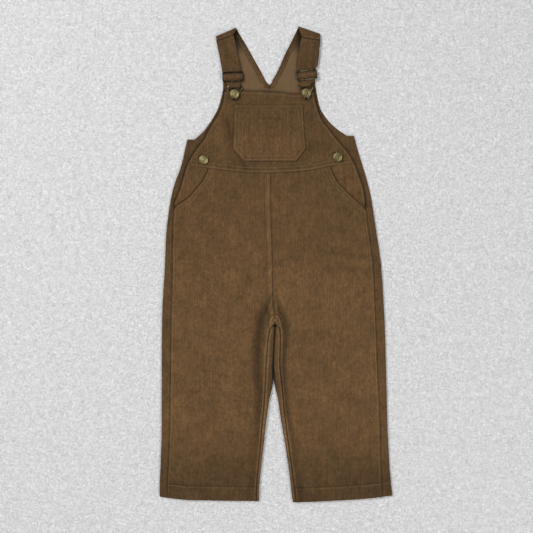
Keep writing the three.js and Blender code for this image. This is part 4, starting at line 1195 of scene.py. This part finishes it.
def placed(side, spot, across, along, level):
    """A point given in the turned frame of a slider or a buckle."""
    tilt = math.radians(spot.tilt)
    across, along = np.asarray(across, float), np.asarray(along, float)
    x = side.sign * spot.x + across * math.cos(tilt) - along * math.sin(tilt)
    y = spot.y + across * math.sin(tilt) + along * math.cos(tilt)
    return np.stack(np.broadcast_arrays(x, y, np.asarray(level, float)), axis=-1)


STRAP_PATH = [(8.1, 13.2, STRAP), (5.0, 13.1, STRAP), (1.4, 13.1, 7.1), (-1.4, 13.1, 7.1), (-5.0, 12.9, STRAP),
              (-8.0, 10.6, STRAP)]
LOOP_HALF = 7.0
LOOP_RADIUS = WIRE_RADIUS + SEAM_GAP + 0.1 + STRAP_WALL / 2


def strap(side):
    ends = [np.array([[side.sign * a, b, STRAP], [side.sign * c, d, STRAP]]) for a, b, c, d in side.strap]
    for along, half, level in STRAP_PATH:
        ends.append(placed(side, side.slider, side.sign * np.array([half, -half]), along, level))
    for degrees in range(50, 271, 20):
        angle = math.radians(degrees)
        ends.append(placed(side, side.button, side.sign * np.array([LOOP_HALF, -LOOP_HALF]),
                           BAR_REACH + LOOP_RADIUS * math.cos(angle),
                           WIRE_LEVEL + LOOP_RADIUS * math.sin(angle)))
    ends.append(placed(side, side.button, side.sign * np.array([LOOP_HALF, -LOOP_HALF]), BAR_REACH + 1.8,
                       WIRE_LEVEL - LOOP_RADIUS))
    ends = np.array(ends)
    middle = ends.mean(1)
    at = np.concatenate([[0], np.cumsum(np.linalg.norm(np.diff(middle, axis=0), axis=1))])
    dense = np.unique(np.concatenate([spaced(0, at[3], 1.6), np.arange(at[3], at[-1], 0.7), at]))
    flat = ends.reshape(len(ends), 6)
    fine = np.stack([np.interp(dense, at, flat[:, k]) for k in range(6)], axis=1).reshape(-1, 2, 3)
    u = np.linspace(0, 1, 26)[None, :, None]
    grid = lerp(fine[:, :1], fine[:, 1:], u)
    for _ in range(2):
        grid[1:-1] = (grid[:-2] + 2 * grid[1:-1] + grid[2:]) / 4
    x, y = grid[..., 0], grid[..., 1]
    across = np.abs(np.linspace(-1, 1, 26))[None, :]
    from_seam = dense[:, None] + 0 * across
    groove = -0.30 * bell((1 - across) * 12.4 - 2.0, 0.8)
    relief = groove + 0.15 * (1 - across ** 4) - 0.1 + 0.08 * np.sin(from_seam * 0.9 + across * 3)
    # Painted shade in the stitching grooves along both edges, and at the shoulder seam where the strap begins.
    tone = 0.81 * (1 - 0.25 * bell((1 - across) * 12.4 - 2.0, 0.9)) * (1 - 0.5 * bell(from_seam, 1.1))
    # Painted shadows on the strap beside the slider's outer bars, where it passes under them.
    tilt = math.radians(side.slider.tilt)
    along = (y - side.slider.y) * math.cos(tilt) - (x - side.sign * side.slider.x) * math.sin(tilt)
    at_bar = (SLIDER.length - SLIDER.bar) / 2
    tone *= (1 - 0.62 * bell(along + at_bar, 2.0)) * (1 - 0.35 * bell(along - at_bar, 1.6))
    # Lighter along the loop round the buckle's wire, with painted shade where the loop turns under the wire.
    loop = smooth(at[4], at[6], from_seam)
    tone *= lerp(1.0, 1.15, loop) * (1 - 0.4 * bell(from_seam - at[-6], 3.0))
    piece = cloth(f"cloth_strap_{side.name}", grid, STRAP_WALL, CORD_STRAP[side.name], tone, relief, edge=0.45)

    rows = []
    for share in (0.08, 0.92):
        path = lerp(ends[:, 0], ends[:, 1], share)[:5]
        rows.append(path[:, :2])
    start = lerp(ends[0], ends[1], 0.18)
    rows.append(np.linspace(lerp(start[0], start[1], 0.05), lerp(start[0], start[1], 0.95), 12)[:, :2])
    seams = stitch_mesh(f"stitches_strap_{side.name}", rows, THREAD,
                        level_of(STRAP + STRAP_WALL / 2 - 0.08))
    finish_cloth(piece, grid, [f"strap_{side.name}"], extras=[seams])


def swept_ring(points, section, closed=True):
    """Vertices and faces of a closed section (out, up) swept along points that lie level."""
    points = np.asarray(points, float)
    ahead = np.roll(points, -1, axis=0) - np.roll(points, 1, axis=0)
    if not closed:
        ahead = np.gradient(points, axis=0)
    outward = unit(np.stack([ahead[:, 1], -ahead[:, 0], np.zeros(len(points))], axis=1))
    section = np.asarray(section, float)
    rings = points[:, None, :] + outward[:, None, :] * section[None, :, :1]
    rings[..., 2] += section[None, :, 1]
    count, sides = len(points), len(section)
    last = count if closed else count - 1
    faces = []
    for i in range(last):
        a, b = i * sides, ((i + 1) % count) * sides
        for k in range(sides):
            n = (k + 1) % sides
            faces.append((a + k, a + n, b + n, b + k))
    if not closed:
        faces += [tuple(range(sides - 1, -1, -1)), tuple((count - 1) * sides + k for k in range(sides))]
    return rings.reshape(-1, 3), faces


def soft_section(width, height, power=3.5, steps=20):
    angle = 2 * math.pi * np.arange(steps) / steps
    c, s = np.cos(angle), np.sin(angle)
    return np.stack([width / 2 * np.sign(c) * np.abs(c) ** (2 / power),
                     height / 2 * np.sign(s) * np.abs(s) ** (2 / power)], axis=1)


def slider(side):
    spot = side.slider
    half_x, half_y, corner = (SLIDER.width - SLIDER.rail) / 2, (SLIDER.length - SLIDER.bar) / 2, 1.6
    local = []
    for cx, cy, start in ((1, 1, 0), (-1, 1, 90), (-1, -1, 180), (1, -1, 270)):
        for degrees in np.linspace(start, start + 90, 8):
            angle = math.radians(degrees)
            local.append((cx * (half_x - corner) + corner * math.cos(angle),
                          cy * (half_y - corner) + corner * math.sin(angle)))
    local = np.array(local)
    ahead = np.roll(local, -1, axis=0)
    local = np.stack([lerp(local, ahead, share) for share in (0, 0.25, 0.5, 0.75)], axis=1).reshape(-1, 2)
    path = placed(side, spot, local[:, 0], local[:, 1], SLIDER.level)
    points, faces = swept_ring(path, soft_section(1.6, SLIDER.thick))
    bar_x = np.linspace(-half_x, half_x, 12)
    bar = placed(side, spot, bar_x, 0 * bar_x, SLIDER.middle_level)
    bar_points, bar_faces = swept_ring(bar, soft_section(SLIDER.bar, SLIDER.thick, 2.4), closed=False)
    offset = len(points)
    faces = faces + [tuple(offset + k for k in f) for f in bar_faces]
    points = np.concatenate([points, bar_points])
    # Painted shade on the side rails, so that only the bars keep the plating's colour.
    tone = 1 - 0.9 * smooth(9.0, 12.5, np.abs(points[:, 0] - side.sign * spot.x))
    piece = add_mesh(f"metal_slider_{side.name}", points, faces, SLIDER_METAL[side.name], tone)
    finish_piece(piece, "dark_metal", f"slider_{side.name}")


# Painted shade on the inner side of each buckle's wire, deeper on the left.
WIRE_PAINTED_SHADE = {"left": 0.8, "right": 0.35}
BUCKLE_OUTLINE = [(0, BAR_REACH), (5, BAR_REACH), (9.2, BAR_REACH - 0.2), (10.2, 8.4), (8.4, 4.4), (5.2, 0.4),
                  (3.8, -3.6), (2.8, -7.2), (0, -8.6)]


def closed_curve(points, count):
    """Smooth closed curve: uniform Catmull-Rom through the points, evenly spaced."""
    points = np.asarray(points, float)
    n = len(points)
    dense = []
    for i in range(n):
        p0, p1, p2, p3 = (points[(i + k) % n] for k in (-1, 0, 1, 2))
        for t in np.linspace(0, 1, 24, endpoint=False):
            dense.append(0.5 * (2 * p1 + (p2 - p0) * t + (2 * p0 - 5 * p1 + 4 * p2 - p3) * t * t
                                + (3 * p1 - p0 - 3 * p2 + p3) * t ** 3))
    dense = np.array(dense + dense[:1])
    at = np.concatenate([[0], np.cumsum(np.linalg.norm(np.diff(dense, axis=0), axis=1))])
    even = np.linspace(0, at[-1], count, endpoint=False)
    return np.stack([np.interp(even, at, dense[:, k]) for k in range(dense.shape[1])], axis=1)


def buckle(side):
    outline = BUCKLE_OUTLINE + [(-a, b) for a, b in BUCKLE_OUTLINE[-2:0:-1]]
    local = closed_curve(outline, 120)
    path = placed(side, side.button, local[:, 0], local[:, 1], WIRE_LEVEL)
    points, faces = swept_ring(path, soft_section(2 * WIRE_RADIUS, 2 * WIRE_RADIUS, 2.0, 16))
    inward = -side.sign * (points[:, 0] - side.sign * side.button.x)
    tone = 1 - WIRE_PAINTED_SHADE[side.name] * smooth(0, 6, inward)
    piece = add_mesh(f"metal_buckle_{side.name}", points, faces, WIRE, tone)
    finish_piece(piece, "aged_brass", f"buckle_{side.name}")


def button(name, x, y, base, neck, node_name):
    """A tack button: neck, cap with a rolled rim, an inner ring and a slightly domed plain middle."""
    r, h = BUTTON_RADIUS, neck
    profile = [
        (0, 0), (SHANK_RADIUS, 0), (SHANK_RADIUS, h), (r - 1.1, h), (r - 0.4, h + 0.15), (r - 0.08, h + 0.5),
        (r, h + 0.9), (r - 0.06, h + 1.35), (r - 0.3, h + 1.75), (r - 0.7, h + 1.95), (r - 1.1, h + 1.9),
        (r - 1.45, h + 1.65), (r - 1.75, h + 1.5), (r - 2.3, h + 1.52), (r - 2.55, h + 1.68),
        (r - 2.85, h + 1.72),
        (r - 3.1, h + 1.6), (r - 3.35, h + 1.56), (r - 4.5, h + 1.72), (r - 5.8, h + 1.82), (0, h + 1.86)]
    steps = 64
    ring = np.array(profile[1:-1])
    angle = 2 * math.pi * np.arange(steps) / steps
    body = np.stack([
        x + ring[:, :1] * np.cos(angle), y + ring[:, :1] * np.sin(angle),
        base + ring[:, 1:] + 0 * angle[None, :]],
        axis=-1)
    points = np.concatenate([body.reshape(-1, 3), [[x, y, base]], [[x, y, base + profile[-1][1]]]])
    faces = []
    for i in range(len(ring) - 1):
        for k in range(steps):
            n = (k + 1) % steps
            faces.append((i * steps + k, i * steps + n, (i + 1) * steps + n, (i + 1) * steps + k))
    low, high = len(ring) * steps, len(ring) * steps + 1
    top = (len(ring) - 1) * steps
    for k in range(steps):
        n = (k + 1) % steps
        faces.append((low, n, k))
        faces.append((high, top + k, top + n))
    recess = np.where((ring[:, 0] > r - 2.4) & (ring[:, 0] < r - 1.4) & (ring[:, 1] > h + 1), 0.25, 1.0)
    tone = np.concatenate([np.repeat(recess, steps), [1.0, 1.0]])
    piece = add_mesh(name, points, faces, BRASS, tone)
    finish_piece(piece, "aged_brass", node_name)


BIB_FACE = FRONT + WALL / 2
TACK_NECK = WIRE_LEVEL + WIRE_RADIUS - BIB_FACE
FLAP_NECK = 1.0


def garment():
    front_bib()
    bib_pocket()
    for side in SIDES:
        front_leg(side)
        pocket_facing(side)
        back_leg(side)
        back_bib(side)
        back_lining(side)
        neck_border(side)
        strap(side)
        slider(side)
        buckle(side)
        button(f"metal_bib_button_{side.name}", side.sign * side.button.x, side.button.y, BIB_FACE + SEAM_GAP,
               TACK_NECK, f"bib_button_{side.name}")
        x, y = side.sign * side.side_button[0], side.side_button[1]
        base = float(bib_level(np.array(x), np.array(y), 0.0)) + WALL / 2 + SEAM_GAP + 0.1
        button(f"metal_side_button_{side.name}", x, y, base, FLAP_NECK, f"side_button_{side.name}")


# Floor, light and camera, in metres
FLOOR_HALF, FLOOR_Z = 4.0, -0.0001
FLOOR_COLOUR = (0.83, 0.83, 0.835)
LAMPS = [
    {"name": "key", "place": (-1.6, 1.15, 2.3), "size": 1.2, "power": 56},
    {"name": "fill", "place": (1.5, -1.5, 2.4), "size": 1.8, "power": 47},
]
ROOM_LIGHT = 0.24
VIEW_CENTRE, VIEW_WIDTH = (-0.0132, -0.0036), 0.773
SENSOR_MM, LENS_MM = 36, 50


def floor():
    """A pale fleece: curled tufts in soft clumps."""
    material, tree, shader = new_material("pale_floor")
    flat = place(tree)
    curl = noise(tree, flat, 340, 2.0, 0.6, twist=1.3)
    clump = noise(tree, flat, 110, 3.0, 0.6)
    factor = maths(tree, "MULTIPLY", ranged(tree, curl, 0.70, 1.22), ranged(tree, clump, 0.93, 1.06))
    tree.links.new(tinted(tree, FLOOR_COLOUR, factor), shader.inputs["Base Color"])
    height = maths(tree, "MULTIPLY_ADD", curl, 0.9, clump)
    bumped(tree, shader, height, 0.8, 3.4)
    set_even(shader, {"Roughness": 0.95, "Specular IOR Level": 0.1})
    corners = np.array([(a * FLOOR_HALF, b * FLOOR_HALF, FLOOR_Z) for a,
            b in ((-1, -1), (1, -1), (1, 1), (-1, 1))])
    ground = add_mesh("floor", corners / MM, [(0, 1, 2, 3)], material, smooth_faces=False)


def area_light(name, place, size, power):
    """A round soft light that points at the garment."""
    data = bpy.data.lights.new(name, "AREA")
    data.shape = "DISK"
    data.size = size
    data.energy = power
    light = bpy.data.objects.new(name, data)
    light.location = place
    light.rotation_euler = (-Vector(place)).to_track_quat("-Z", "Y").to_euler()
    bpy.context.scene.collection.objects.link(light)


def studio():
    for lamp in LAMPS:
        area_light(**lamp)
    world = bpy.data.worlds.new("soft_room")
    world.use_nodes = True
    world.node_tree.nodes["Background"].inputs["Color"].default_value = (1, 1, 1, 1)
    world.node_tree.nodes["Background"].inputs["Strength"].default_value = ROOM_LIGHT
    bpy.context.scene.world = world
    bpy.context.scene.view_settings.view_transform = "Standard"


def camera():
    data = bpy.data.cameras.new("camera")
    data.sensor_width = SENSOR_MM
    data.lens = LENS_MM
    view = bpy.data.objects.new("camera", data)
    view.location = (*VIEW_CENTRE, VIEW_WIDTH * LENS_MM / SENSOR_MM)
    bpy.context.scene.collection.objects.link(view)
    bpy.context.scene.camera = view


camera()
studio()
floor()
garment()
